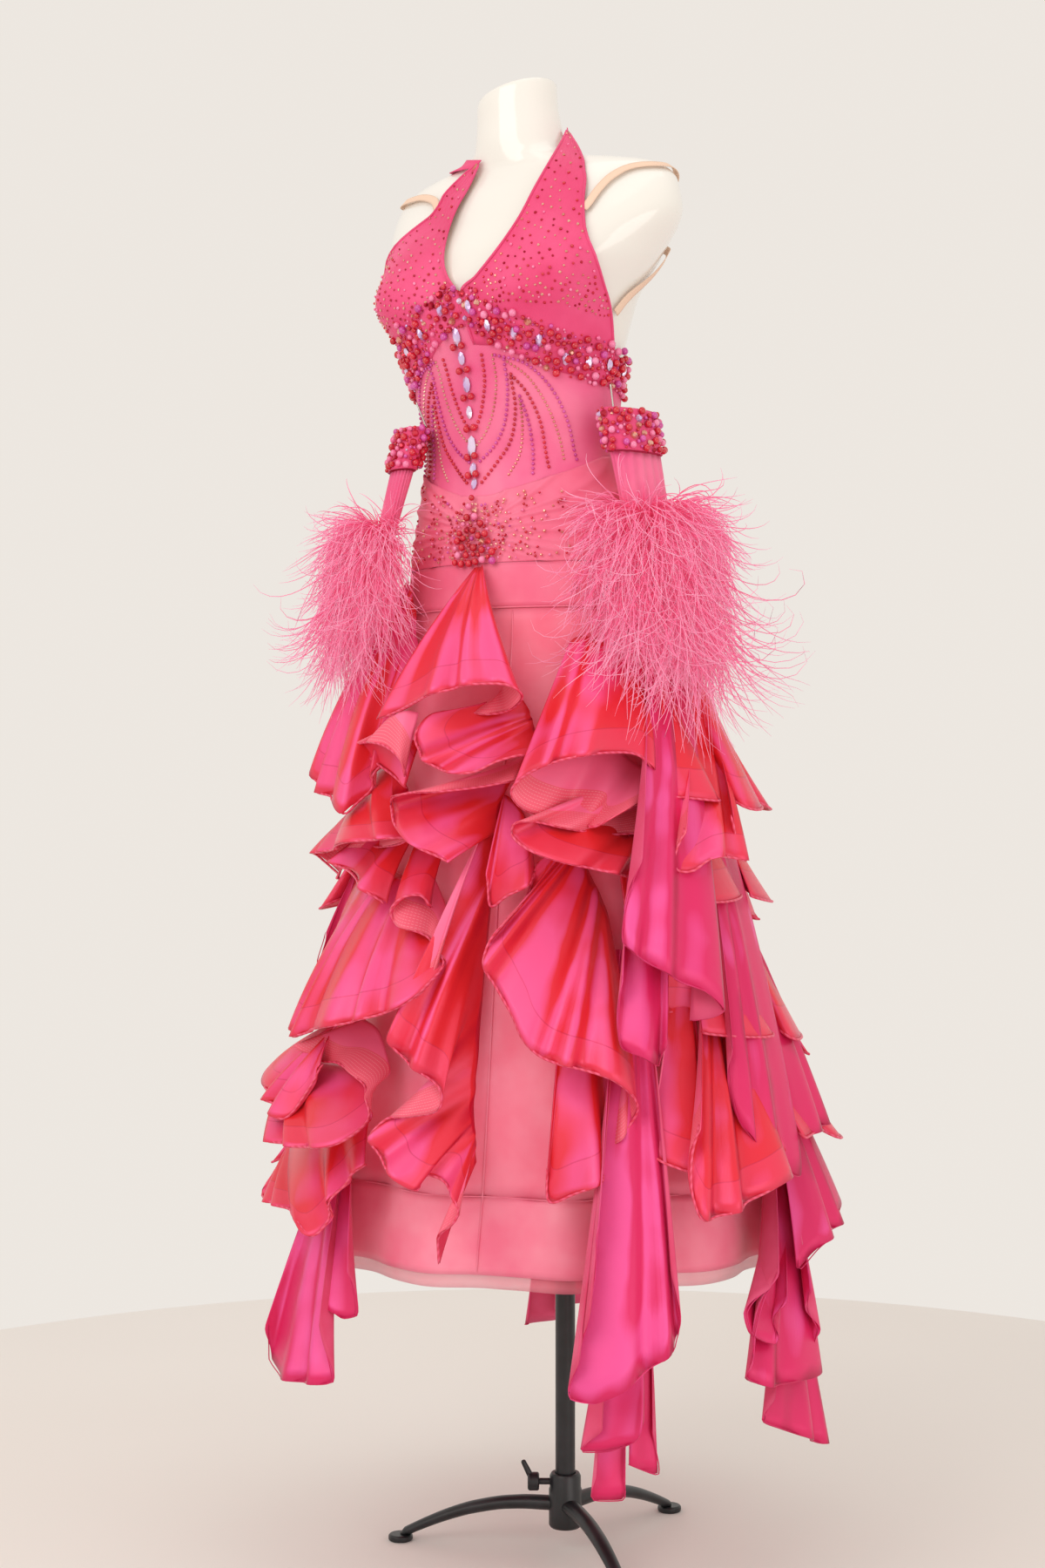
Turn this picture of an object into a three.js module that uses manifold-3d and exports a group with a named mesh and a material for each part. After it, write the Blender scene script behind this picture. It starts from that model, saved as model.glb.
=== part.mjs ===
// Ballroom dance gown on a limbless dress form and a three-leg stand.
// Millimetres, +Z up. The gown's front faces -Y and the wearer's left is +X.
import * as THREE from 'three';
import { mergeVertices } from 'three/addons/utils/BufferGeometryUtils.js';
import Module from 'manifold-3d';

const wasm = await Module();
wasm.setup();

// ---------------------------------------------------------------- driving sizes
const SEAM_GAP = 0.4;            // clear space left at every seam
const CLOTH = 1.8;               // wall of one ply of cloth
const STIFF = 2.2;               // wall of a stiffened hem
const FORM_CLEAR = 4;            // gown surface outside the form
const YOKE_TOP = 1186;
const YOKE_BOTTOM = 1134;
const SKIRT_HEM = 386;           // lower edge of the underskirt's hem band
const HEM_BAND = 84;             // height of that band
const NET_DROP = 16;             // net seen below the band
const POLE_RADIUS = 12;
const POLE_FOOT = 36;
const POLE_TOP = 1052;
const SOCKET_CLEAR = 0.6;
const FORM_BASE = 985;
const HUB_RADIUS = 20;
const HUB_FOOT = 28;
const HUB_TOP = 94;
const HUB_FLOOR = 7;
const FOOT_RADIUS = 15;
const FOOT_HEIGHT = 8;
const SCREW_RADIUS = 4;
const SCREW_HEIGHT = 83;
const VIEW_TURN = 33 * Math.PI / 180;   // leg plan is given across and along this heading
const DEG = Math.PI / 180;

// ---------------------------------------------------------------- section tables
const BODY = [
  // z, centre x, centre y, half width, front depth, back depth
  [985, -10, -40, 146, 100, 104],
  [1060, -11, -42, 156, 106, 110],
  [1150, -12, -44, 156, 104, 110],
  [1195, -14, -45, 151, 100, 106],
  [1260, -22, -48, 134, 91, 96],
  [1330, -30, -51, 121, 83, 87],
  [1400, -34, -53, 130, 89, 90],
  [1450, -37, -54, 143, 98, 98],
  [1500, -36, -54, 157, 105, 104],
  [1550, -25, -52, 180, 102, 104],
  [1600, -17, -46, 199, 86, 96],
  [1635, -17, -42, 192, 70, 80],
  [1655, -20, -40, 174, 57, 63],
  [1668, -31, -40, 132, 49, 54],
  [1678, -36, -40, 76, 50, 53],
  [1694, -38, -41, 57, 51, 52],
  [1725, -39, -43, 52, 48, 50],
  [1745, -40, -45, 50, 46, 48],
];
const SKIRT = [
  [0, -14, -12, 295, 284, 284],
  [380, -14, -12, 295, 284, 284],
  [470, -13, -16, 276, 262, 262],
  [650, -11, -24, 244, 222, 222],
  [850, -8, -32, 210, 182, 182],
  [1000, -10, -38, 192, 152, 152],
  [1122, -10, -44, 172, 124, 126],
  [1195, -12, -45, 163, 114, 118],
  [1260, -21, -48, 143, 100, 105],
];
const GOWN = SKIRT.concat(BODY.filter((row) => row[0] >= 1330)
  .map(([z, cx, cy, half, front, back]) =>
    [z, cx, cy, half + FORM_CLEAR, front + FORM_CLEAR, back + FORM_CLEAR]));
const BUST = { height: 1500, rise: 36, turn: 35, spread: 24, above: 60, below: 42 };

// One value of a table at a height: a monotone cubic through the rows.
function column(table, index, z) {
  const last = table.length - 1;
  if (z <= table[0][0]) return table[0][index];
  if (z >= table[last][0]) return table[last][index];
  let i = 0;
  while (table[i + 1][0] < z) i += 1;
  const slope = (k) => (table[k + 1][index] - table[k][index]) / (table[k + 1][0] - table[k][0]);
  const tangent = (k) => {
    if (k === 0 || k === last) return slope(Math.min(k, last - 1));
    const before = slope(k - 1), after = slope(k);
    return before * after <= 0 ? 0 : 2 * before * after / (before + after);
  };
  const span = table[i + 1][0] - table[i][0];
  const u = (z - table[i][0]) / span;
  const u2 = u * u, u3 = u2 * u;
  return (2 * u3 - 3 * u2 + 1) * table[i][index] + (u3 - 2 * u2 + u) * span * tangent(i)
    + (3 * u2 - 2 * u3) * table[i + 1][index] + (u3 - u2) * span * tangent(i + 1);
}

const wrap = (degrees) => ((degrees + 540) % 360 + 360) % 360 - 180;
const mix = (a, b, t) => a + (b - a) * t;
const smooth = (t) => t * t * (3 - 2 * t);

function bustRise(turn, z) {
  const reach = z > BUST.height ? BUST.above : BUST.below;
  const tall = Math.exp(-(((z - BUST.height) / reach) ** 2));
  const left = Math.exp(-(((wrap(turn) - BUST.turn) / BUST.spread) ** 2));
  const right = Math.exp(-(((wrap(turn) + BUST.turn) / BUST.spread) ** 2));
  return BUST.rise * tall * (left + right);
}

// A point of a sectioned surface: turn is in degrees from the front towards the wearer's left.
function surface(table, turn, z, out) {
  const [cx, cy, half, front, back] = [1, 2, 3, 4, 5].map((i) => column(table, i, z));
  const angle = turn * DEG;
  const facing = (Math.cos(angle) + 1) / 2;
  const depth = mix(back, front, smooth(facing));
  const rise = bustRise(turn, z) + out;
  return new THREE.Vector3(cx + (half + rise) * Math.sin(angle),
    cy - (depth + rise) * Math.cos(angle), z);
}
const gown = (turn, z, out = 0) => surface(GOWN, turn, z, out);

// Linear reading of a short curve table [[x, y], ...].
function curve(rows, x) {
  if (x <= rows[0][0]) return rows[0][1];
  for (let i = 1; i < rows.length; i += 1) {
    if (x <= rows[i][0]) {
      return mix(rows[i - 1][1], rows[i][1], (x - rows[i - 1][0]) / (rows[i][0] - rows[i - 1][0]));
    }
  }
  return rows[rows.length - 1][1];
}

// ---------------------------------------------------------------- solid builders
function solid(points, faces) {
  const geometry = new THREE.BufferGeometry();
  geometry.setAttribute('position', new THREE.Float32BufferAttribute(points.flatMap((p) =>
    [p.x, p.y, p.z]), 3));
  let volume = 0;
  for (const [a, b, c] of faces) {
    volume += points[a].dot(new THREE.Vector3().crossVectors(points[b], points[c]));
  }
  geometry.setIndex(volume < 0 ? faces.flatMap(([a, b, c]) => [a, c, b]) : faces.flat());
  return geometry;
}

// Direction of a line at its middle point of three, halfway between its two stretches.
function bisect(before, here, after) {
  return here.clone().sub(before).normalize().add(after.clone().sub(here).normalize());
}

// A wall of even thickness on a grid of mid-surface points. raise(i, j) lifts outer points.
function wall(across, down, place, { thick = CLOTH, closed = false, raise = null } = {}) {
  const columns = closed ? across : across + 1;
  const grid = [];
  for (let i = 0; i < columns; i += 1) {
    grid.push([]);
    for (let j = 0; j <= down; j += 1) grid[i].push(place(i / across, j / down));
  }
  const at = (i, j) => grid[closed ? (i + columns) % columns : Math.min(Math.max(i, 0), across)][
    Math.min(Math.max(j, 0), down)];
  const points = [];
  const count = columns * (down + 1);
  for (const side of [1, -1]) {
    for (let i = 0; i < columns; i += 1) {
      for (let j = 0; j <= down; j += 1) {
        const normal = new THREE.Vector3().crossVectors(
          bisect(at(i - 1, j), at(i, j), at(i + 1, j)),
          bisect(at(i, j - 1), at(i, j), at(i, j + 1))).normalize().negate();
        const lift = side > 0 && raise ? raise(i, j) : 0;
        points.push(at(i, j).clone().addScaledVector(normal, side * thick / 2 + lift));
      }
    }
  }
  const id = (i, j, side) => side * count + (i % columns) * (down + 1) + j;
  const faces = [];
  const quad = (a, b, c, d) => faces.push([a, b, c], [a, c, d]);
  for (let i = 0; i < across; i += 1) {
    for (let j = 0; j < down; j += 1) {
      quad(id(i, j, 0), id(i, j + 1, 0), id(i + 1, j + 1, 0), id(i + 1, j, 0));
      quad(id(i, j, 1), id(i + 1, j, 1), id(i + 1, j + 1, 1), id(i, j + 1, 1));
    }
    quad(id(i, 0, 0), id(i + 1, 0, 0), id(i + 1, 0, 1), id(i, 0, 1));
    quad(id(i, down, 0), id(i, down, 1), id(i + 1, down, 1), id(i + 1, down, 0));
  }
  if (!closed) {
    for (let j = 0; j < down; j += 1) {
      quad(id(0, j, 0), id(0, j, 1), id(0, j + 1, 1), id(0, j + 1, 0));
      quad(id(across, j, 0), id(across, j + 1, 0), id(across, j + 1, 1), id(across, j, 1));
    }
  }
  return solid(points, faces);
}

// A solid through rings of equal count, closed with a fan at each end.
function loft(rings) {
  const count = rings[0].length;
  const points = rings.flat();
  const faces = [];
  for (let r = 0; r + 1 < rings.length; r += 1) {
    for (let i = 0; i < count; i += 1) {
      const a = r * count + i, b = r * count + (i + 1) % count;
      faces.push([a, b, b + count], [a, b + count, a + count]);
    }
  }
  for (const [ring, turned] of [[0, true], [rings.length - 1, false]]) {
    const middle = new THREE.Vector3();
    rings[ring].forEach((p) => middle.add(p));
    points.push(middle.divideScalar(count));
    for (let i = 0; i < count; i += 1) {
      const a = ring * count + i, b = ring * count + (i + 1) % count;
      faces.push(turned ? [b, a, points.length - 1] : [a, b, points.length - 1]);
    }
  }
  return solid(points, faces);
}

function toManifold(geometry) {
  const plain = geometry.clone();
  plain.deleteAttribute('normal');
  plain.deleteAttribute('uv');
  const merged = mergeVertices(plain, 1e-4);
  return new wasm.Manifold(new wasm.Mesh({ numProp: 3,
    vertProperties: new Float32Array(merged.attributes.position.array),
    triVerts: new Uint32Array(merged.index.array) }));
}

function fromManifold(body) {
  const mesh = body.getMesh();
  const geometry = new THREE.BufferGeometry();
  geometry.setAttribute('position', new THREE.Float32BufferAttribute(mesh.vertProperties, 3));
  geometry.setIndex(Array.from(mesh.triVerts));
  return geometry;
}

function cylinder(radius, bottom, top, sides = 24) {
  const ring = (z) => Array.from({ length: sides }, (unused, i) => new THREE.Vector3(
    radius * Math.cos(2 * Math.PI * i / sides), radius * Math.sin(2 * Math.PI * i / sides), z));
  return loft([ring(bottom), ring(top)]);
}

// A straight round bar between two points.
function bar(from, to, radiusFrom, radiusTo, sides) {
  const along = to.clone().sub(from).normalize();
  const side = Math.abs(along.z) < 0.9 ? new THREE.Vector3(0, 0, 1) : new THREE.Vector3(1, 0, 0);
  const u = new THREE.Vector3().crossVectors(along, side).normalize();
  const v = new THREE.Vector3().crossVectors(along, u);
  const ring = (centre, radius) => Array.from({ length: sides }, (unused, i) => centre.clone()
    .addScaledVector(u, radius * Math.cos(2 * Math.PI * i / sides))
    .addScaledVector(v, radius * Math.sin(2 * Math.PI * i / sides)));
  return loft([ring(from, radiusFrom), ring(to, radiusTo)]);
}

// ---------------------------------------------------------------- colours and assembly
const group = new THREE.Group();
group.name = 'ballroom_dance_gown';
const COLOURS = {
  formGloss: 0xf4f1ea, standBlack: 0x1b1b1d, hotPink: 0xe8407a, coral: 0xf47a90,
  satin: 0xee4f78, floatPink: 0xe84c86, sheer: 0xe56f92, nude: 0xe8b58e, net: 0xf3a9b6,
  bead: 0xc8205a, stone: 0xd9a0c4, feather: 0xf08fbd, pin: 0xb9b4ac,
};
function add(name, geometry, colour, finish = {}) {
  const flat = geometry.index ? geometry : mergeVertices(geometry);
  flat.computeVertexNormals();
  const material = new THREE.MeshStandardMaterial({ color: COLOURS[colour], roughness: 0.6,
    metalness: 0, ...finish });
  material.name = `${name}_finish`;
  const mesh = new THREE.Mesh(flat, material);
  mesh.name = name;
  group.add(mesh);
}

// ---------------------------------------------------------------- dress form and stand
const FORM_SIDES = 24;
const FORM_HEIGHTS = [985, 1060, 1150, 1205, 1265, 1330, 1390, 1435, 1468, 1500, 1532, 1570,
  1605, 1635, 1655, 1668, 1679, 1696, 1725];
const NECK_TOP = 1745;
const NECK_CAP = { low: 1750, high: 1775 };     // the cap rises towards the wearer's left
function formBody() {
  const ringAt = (z, scale = 1) => Array.from({ length: FORM_SIDES }, (unused, i) => {
    const p = surface(BODY, 360 * i / FORM_SIDES, z, 0);
    const middle = new THREE.Vector3(column(BODY, 1, z), column(BODY, 2, z), z);
    return middle.lerp(p, scale);
  });
  const rings = FORM_HEIGHTS.map((z) => ringAt(z));
  rings.unshift(ringAt(FORM_BASE, 0.96).map((p) => p.setZ(FORM_BASE - 5)));
  for (const [lift, scale] of [[0.55, 1], [0.9, 0.97], [1, 0.9]]) {
    rings.push(ringAt(NECK_TOP, scale).map((p) => {
      const across = (p.x - column(BODY, 1, NECK_TOP)) / column(BODY, 3, NECK_TOP);
      return p.setZ(mix(NECK_TOP - 15, mix(NECK_CAP.low, NECK_CAP.high, (across + 1) / 2), lift));
    }));
  }
  const socket = cylinder(POLE_RADIUS + SOCKET_CLEAR, FORM_BASE - 20, POLE_TOP + 1);
  return fromManifold(toManifold(loft(rings)).subtract(toManifold(socket)));
}
add('form_body', formBody(), 'formGloss', { roughness: 0.22 });
add('stand_pole', cylinder(POLE_RADIUS, POLE_FOOT, POLE_TOP), 'standBlack', { roughness: 0.4 });

const acrossView = new THREE.Vector3(Math.cos(VIEW_TURN), Math.sin(VIEW_TURN), 0);
const towardView = new THREE.Vector3(Math.sin(VIEW_TURN), -Math.cos(VIEW_TURN), 0);
const plan = (across, toward, z) => new THREE.Vector3(0, 0, z)
  .addScaledVector(acrossView, across).addScaledVector(towardView, toward);
const LEGS = [[-202, -37], [136, -154], [66, 187]];     // foot positions: across, toward
const LEG_SIDES = 8;
const LEG_RISE = [[0.04, 56, 11], [0.35, 54, 10], [0.7, 36, 9], [1, 8, 7]];
function standBase() {
  let body = toManifold(cylinder(HUB_RADIUS, HUB_FOOT, HUB_TOP, 16));
  for (const [across, toward] of LEGS) {
    const radial = plan(across, toward, 0).normalize();
    const flat = new THREE.Vector3(-radial.y, radial.x, 0);
    body = body.add(toManifold(loft(LEG_RISE.map(([share, z, radius]) =>
      Array.from({ length: LEG_SIDES }, (unused, i) => plan(across * share, toward * share, z)
        .addScaledVector(flat, radius * Math.cos(2 * Math.PI * i / LEG_SIDES))
        .add(new THREE.Vector3(0, 0, radius * Math.sin(2 * Math.PI * i / LEG_SIDES))))))));
    const foot = cylinder(FOOT_RADIUS, 0, FOOT_HEIGHT, 12);
    const at = plan(across, toward, 0);
    foot.translate(at.x, at.y, 0);
    body = body.add(toManifold(foot));
  }
  body = body.subtract(toManifold(cylinder(POLE_RADIUS + SEAM_GAP, HUB_FOOT + HUB_FLOOR,
    HUB_TOP + 5, 20)));
  body = body.subtract(toManifold(bar(plan(0, 0, SCREW_HEIGHT), plan(-HUB_RADIUS - 30, 0,
    SCREW_HEIGHT), SCREW_RADIUS + SEAM_GAP, SCREW_RADIUS + SEAM_GAP, 10)));
  return fromManifold(body);
}
add('stand_base', standBase(), 'standBlack', { roughness: 0.4 });

function standClamp() {
  const shank = bar(plan(-POLE_RADIUS - 0.8, 0, SCREW_HEIGHT), plan(-44, 0, SCREW_HEIGHT),
    SCREW_RADIUS, SCREW_RADIUS, 10);
  const knob = bar(plan(-32, 0, SCREW_HEIGHT), plan(-46, 0, SCREW_HEIGHT), 11, 9, 10);
  const lever = bar(plan(-39, 0, SCREW_HEIGHT), plan(-52, 0, SCREW_HEIGHT + 26), 4, 3, 6);
  return fromManifold(toManifold(shank).add(toManifold(knob)).add(toManifold(lever)));
}
add('stand_clamp', standClamp(), 'standBlack', { roughness: 0.4 });

// ---------------------------------------------------------------- bodice
// Curves of height against turn, all round the body.
const TRIM_LOW = [[-180, 1386], [-112, 1388], [-75, 1398], [-45, 1412], [-24, 1432], [-6, 1462],
  [3, 1464], [16, 1436], [45, 1408], [75, 1396], [112, 1388], [180, 1386]];
const TRIM_HIGH = [[-180, 1420], [-112, 1424], [-75, 1440], [-45, 1454], [-24, 1472], [-6, 1502],
  [3, 1504], [16, 1476], [45, 1448], [75, 1436], [112, 1424], [180, 1420]];
const SWATHE_HIGH = [[-180, 1322], [-90, 1316], [-50, 1300], [-12, 1268], [4, 1266], [40, 1288],
  [75, 1312], [110, 1318], [180, 1322]];
const TRIM_TURN = 112;
const BEADS_ROUND = 48;

const CUPS = [
  // side, inner edge [turn, z] bottom to top, outer edge [turn, z] bottom to top
  { name: 'bodice_cup_left', columns: 6,
    inner: [[4, 1506], [6, 1512], [14, 1542], [20, 1590], [27, 1640], [31, 1672], [33, 1702]],
    outer: [[78, 1438], [74, 1484], [57, 1524], [47, 1566], [43, 1624], [45, 1668], [46, 1706]] },
  { name: 'bodice_cup_right', columns: 6,
    inner: [[-6, 1506], [-7, 1514], [-9, 1540], [-12, 1580], [-18, 1630], [-26, 1672],
      [-31, 1702]],
    outer: [[-78, 1438], [-70, 1484], [-48, 1522], [-33, 1562], [-28, 1616], [-36, 1666],
      [-44, 1706]] },
];
const along = (rows, t) => {
  const f = t * (rows.length - 1), i = Math.min(Math.floor(f), rows.length - 2);
  return [0, 1].map((k) => mix(rows[i][k], rows[i + 1][k], f - i));
};
for (const cup of CUPS) {
  const place = (s, t) => {
    const [innerTurn, innerZ] = along(cup.inner, t);
    const [outerTurn, outerZ] = along(cup.outer, t);
    const turn = mix(innerTurn, outerTurn, s);
    const seam = curve(TRIM_HIGH, turn) + 3 - mix(cup.inner[0][1], cup.outer[0][1], s);
    return gown(turn, mix(innerZ, outerZ, s) + (1 - t) ** 3 * seam, 1);
  };
  add(cup.name, wall(cup.columns, 12, place), 'hotPink');
}
add('halter_neck_band', wall(14, 1, (s, t) => gown(mix(48.5, 312.5, s), mix(1710, 1693, t), 2.5)),
  'hotPink');

add('underbust_trim', wall(BEADS_ROUND, 2, (s, t) => {
  const turn = mix(-TRIM_TURN, TRIM_TURN, s);
  return gown(turn, mix(curve(TRIM_HIGH, turn), curve(TRIM_LOW, turn), t), 2.4);
}, { thick: 2.4, raise: (i, j) => ((i + j) % 2 === 0 ? 4.5 : 0.6) }), 'bead',
{ roughness: 0.25 });
add('bodice_back', wall(12, 1, (s, t) => {
  const turn = mix(TRIM_TURN + 0.4, 360 - TRIM_TURN - 0.4, s);
  return gown(turn, mix(curve(TRIM_HIGH, wrap(turn)), curve(TRIM_LOW, wrap(turn)), t), 1);
}), 'hotPink');

const MIDRIFF = [['midriff_front', -90, 90, 14, 5], ['midriff_back', 90.3, 269.7, 10, 3]];
for (const [name, from, to, columns, rows] of MIDRIFF) {
  add(name, wall(columns, rows, (s, t) => {
    const turn = wrap(mix(from, to, s) + 1e-9);
    return gown(turn, mix(curve(TRIM_LOW, turn) - 2, curve(SWATHE_HIGH, turn) + 1, t), 1);
  }), 'sheer');
}

// Line of stones down the centre front, and the bead cluster at the gather of the swathe.
const STONE_LINE = [[-4.5, 1446], [-4, 1415], [-5, 1350], [-6, 1313], [-4, 1270]];
add('centre_stones', wall(2, 20, (s, t) => {
  const [turn, z] = along(STONE_LINE, t);
  return gown(turn + mix(-3.2, 3.2, s), z, 5.2);
}, { thick: 1.6, raise: (i, j) => (i === 1 && j % 2 === 1 ? 5 : 0.2) }), 'stone',
{ roughness: 0.15 });
const CLUSTER = { turn: -4, low: 1190, high: 1256, reach: 9 };
add('bead_cluster', wall(6, 7, (s, t) => {
  const width = CLUSTER.reach * (0.55 + 0.45 * Math.sin(Math.PI * (0.15 + 0.75 * t)));
  return gown(CLUSTER.turn + mix(-width, width, s), mix(CLUSTER.high, CLUSTER.low, t), 7.2);
}, { thick: 2.4, raise: (i, j) => ((i + j) % 2 === 0 ? 5 : 1) }), 'bead', { roughness: 0.2 });

// Hip swathe: pleats fan out from the cluster towards the hips.
const PLEATS = { count: 15, depth: 3.2, turn: -4, z: 1222, squash: 2.3 };
add('hip_swathe_front', wall(26, 4, (s, t) => {
  const turn = mix(-90, 90, s);
  const z = mix(curve(SWATHE_HIGH, turn), YOKE_TOP + SEAM_GAP, t);
  const fan = Math.atan2(z - PLEATS.z, (Math.abs(turn - PLEATS.turn) + 5) * PLEATS.squash);
  const away = Math.min(1, Math.abs(turn - PLEATS.turn) / 22);
  return gown(turn, z, 2.2 + PLEATS.depth * away * (0.5 + 0.5 * Math.sin(PLEATS.count * 2 * fan)));
}), 'coral');
add('hip_swathe_back', wall(14, 2, (s, t) => {
  const turn = mix(90.3, 269.7, s);
  return gown(turn, mix(curve(SWATHE_HIGH, wrap(turn)), YOKE_TOP + SEAM_GAP, t),
    2.2 + 2 * Math.sin(Math.PI * t));
}), 'coral');
add('yoke_band', wall(32, 1, (s, t) => gown(360 * s, mix(YOKE_TOP, YOKE_BOTTOM, t), 2),
  { closed: true }), 'coral');

// Elastic straps: a loop from the halter over the shoulder and back under the arm.
const STRAP_OUT = 1.8;
const STRAP_PATH = [[47.4, 1628], [58, 1641], [75, 1648], [100, 1648], [128, 1634], [146, 1604],
  [140, 1560], [122, 1520], [100, 1494], [80, 1488]];
for (const [name, side] of [['strap_left', 1], ['strap_right', -1]]) {
  const path = STRAP_PATH.map(([turn, z], i) =>
    [side * (side < 0 && i === 0 ? turn - 10 : turn), z]);
  const width = 10;
  add(name, wall(16, 1, (s, t) => {
    const [turn, z] = along(path, s);
    const [nextTurn, nextZ] = along(path, Math.min(1, s + 0.02));
    const [lastTurn, lastZ] = along(path, Math.max(0, s - 0.02));
    const p = gown(turn, z, STRAP_OUT);
    const direction = gown(nextTurn, nextZ, STRAP_OUT)
      .sub(gown(lastTurn, lastZ, STRAP_OUT)).normalize();
    const outward = gown(turn, z, 20).sub(p).normalize();
    return p.addScaledVector(new THREE.Vector3().crossVectors(direction, outward).normalize(),
      mix(-width / 2, width / 2, t));
  }, { thick: 1.2 }), 'nude');
}

// ---------------------------------------------------------------- underskirt
const FLUTES = { count: 10, depth: 9, from: 860, full: 400 };
function underskirt(turn, z, out = 0) {
  const reach = smooth(Math.min(1, Math.max(0, (FLUTES.from - z) / (FLUTES.from - FLUTES.full))));
  return gown(turn, z, out - 3 + FLUTES.depth * reach * (Math.cos(FLUTES.count * turn * DEG) - 1));
}
const BAND_TOP = SKIRT_HEM + HEM_BAND;
add('underskirt', wall(40, 3, (s, t) => underskirt(360 * s, mix(YOKE_BOTTOM - SEAM_GAP * 2,
  BAND_TOP + SEAM_GAP, t)), { closed: true }), 'coral');
add('underskirt_hem', wall(40, 1, (s, t) => underskirt(360 * s, mix(BAND_TOP, SKIRT_HEM, t)),
  { closed: true, thick: STIFF }), 'coral');
add('net_hem', wall(40, 1, (s, t) => underskirt(360 * s, mix(BAND_TOP - 20,
  SKIRT_HEM - NET_DROP, t), -6), { closed: true, thick: 1.4 }), 'net');

// ---------------------------------------------------------------- flounces and floats
// Every row: name, top edge from [turn, z] to [turn, z], hem from [turn, z] to [turn, z],
// clear space at the top and at the hem, fold depth, folds, curl of the folds, side first out.
const FLOUNCES = [
  ['flounce_front', -5, 1178, 4, 1176, -23, 1006, 19, 1026, 8, 72, 36, 2, 0.13, 1],
  ['flounce_hip_right', -62, 1124, -14, 1128, -74, 985, -28, 898, 8, 72, 36, 2, 0.14, -1],
  ['flounce_hip_left', 33, 1074, 54, 1112, 23, 930, 57, 962, 8, 74, 36, 1.5, 0.14, 1],
  ['flounce_side_left', 60, 1124, 122, 1124, 60, 925, 119, 905, 8, 54, 28, 2, 0.12, 1],
  ['flounce_front_low', -14, 1030, 15, 1044, -19, 866, 18, 940, 6, 66, 32, 1.5, 0.15, -1],
  ['flounce_right_low', -66, 960, -25, 925, -64, 834, -25, 862, 6, 54, 28, 1.5, 0.14, 1],
  ['flounce_left_low', 24, 970, 56, 985, 23, 872, 53, 822, 6, 68, 32, 1.5, 0.15, 1],
  ['flounce_side_low', 60, 950, 122, 930, 58, 812, 119, 800, 6, 36, 20, 2, 0.12, -1],
  ['flounce_right_mid', -64, 865, -8, 868, -60, 632, 3, 722, 6, 52, 30, 2, 0.14, -1],
  ['flounce_centre', 22, 862, 38, 856, 16, 735, 45, 592, 6, 76, 36, 2, 0.15, 1],
  ['flounce_side_mid', 52, 840, 122, 830, 53, 668, 119, 640, 6, 44, 24, 2, 0.12, -1],
  ['flounce_cascade', 7, 830, 18, 835, -5, 500, 15, 515, 6, 64, 34, 1.5, 0.15, 1],
  ['flounce_right_curl', -66, 690, -20, 700, -66, 560, -17, 555, 6, 72, 38, 2, 0.15, 1],
  ['flounce_right_hem', -72, 585, -16, 600, -72, 436, -17, 446, 6, 58, 30, 2, 0.14, -1],
  ['flounce_centre_hem', 21, 640, 52, 640, 20, 484, 56, 520, 6, 64, 28, 1.5, 0.13, -1],
  ['flounce_left_point', 60, 690, 72, 690, 59, 462, 82, 496, 6, 68, 28, 1.5, 0.14, 1],
  ['flounce_left_hem', 78, 690, 124, 690, 85, 540, 121, 520, 6, 72, 32, 1.5, 0.13, 1],
  ['flounce_back_top', 126, 1124, 292, 1124, 126, 915, 276, 925, 8, 50, 28, 5, 0.12, 1],
  ['flounce_back_second', 126, 948, 288, 960, 126, 770, 292, 790, 6, 42, 24, 5, 0.12, -1],
  ['flounce_back_third', 126, 800, 286, 820, 126, 615, 287, 630, 6, 48, 28, 5, 0.12, 1],
  ['flounce_back_hem', 126, 645, 284, 655, 126, 455, 285, 470, 6, 56, 30, 5, 0.12, -1],
];
const FLOATS = [
  ['float_short', 54, 935, 62, 930, 45, 765, 66, 684, 126, 136, 16, 1.5, 0.15, 1],
  ['float_column', 46, 724, 54, 722, 45, 650, 55, 622, 118, 126, 10, 1, 0.13, 1],
  ['float_long', 40, 660, 49, 660, 34, 282, 52, 336, 100, 112, 24, 2, 0.15, -1],
  ['float_long_tail', 37, 330, 47, 345, 37, 235, 50, 182, 60, 84, 14, 1.5, 0.13, 1],
  ['float_side', 66, 540, 78, 540, 64, 300, 82, 205, 14, 100, 20, 2, 0.15, 1],
  ['float_back_left', 84, 572, 96, 572, 78, 400, 98, 465, 12, 110, 18, 1.5, 0.06, 1],
  ['float_back', 196, 470, 214, 470, 192, 250, 216, 190, 14, 96, 20, 2, 0.14, -1],
  ['float_right', -28, 470, -14, 470, -29, 290, -9, 272, 14, 76, 18, 2, 0.15, 1],
];
const FOLD_STEPS = 8;
const LOBE_DROP = 0.5;           // an outer lobe hangs this share of the fold depth lower
const GROWTH = 1.8;
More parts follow.
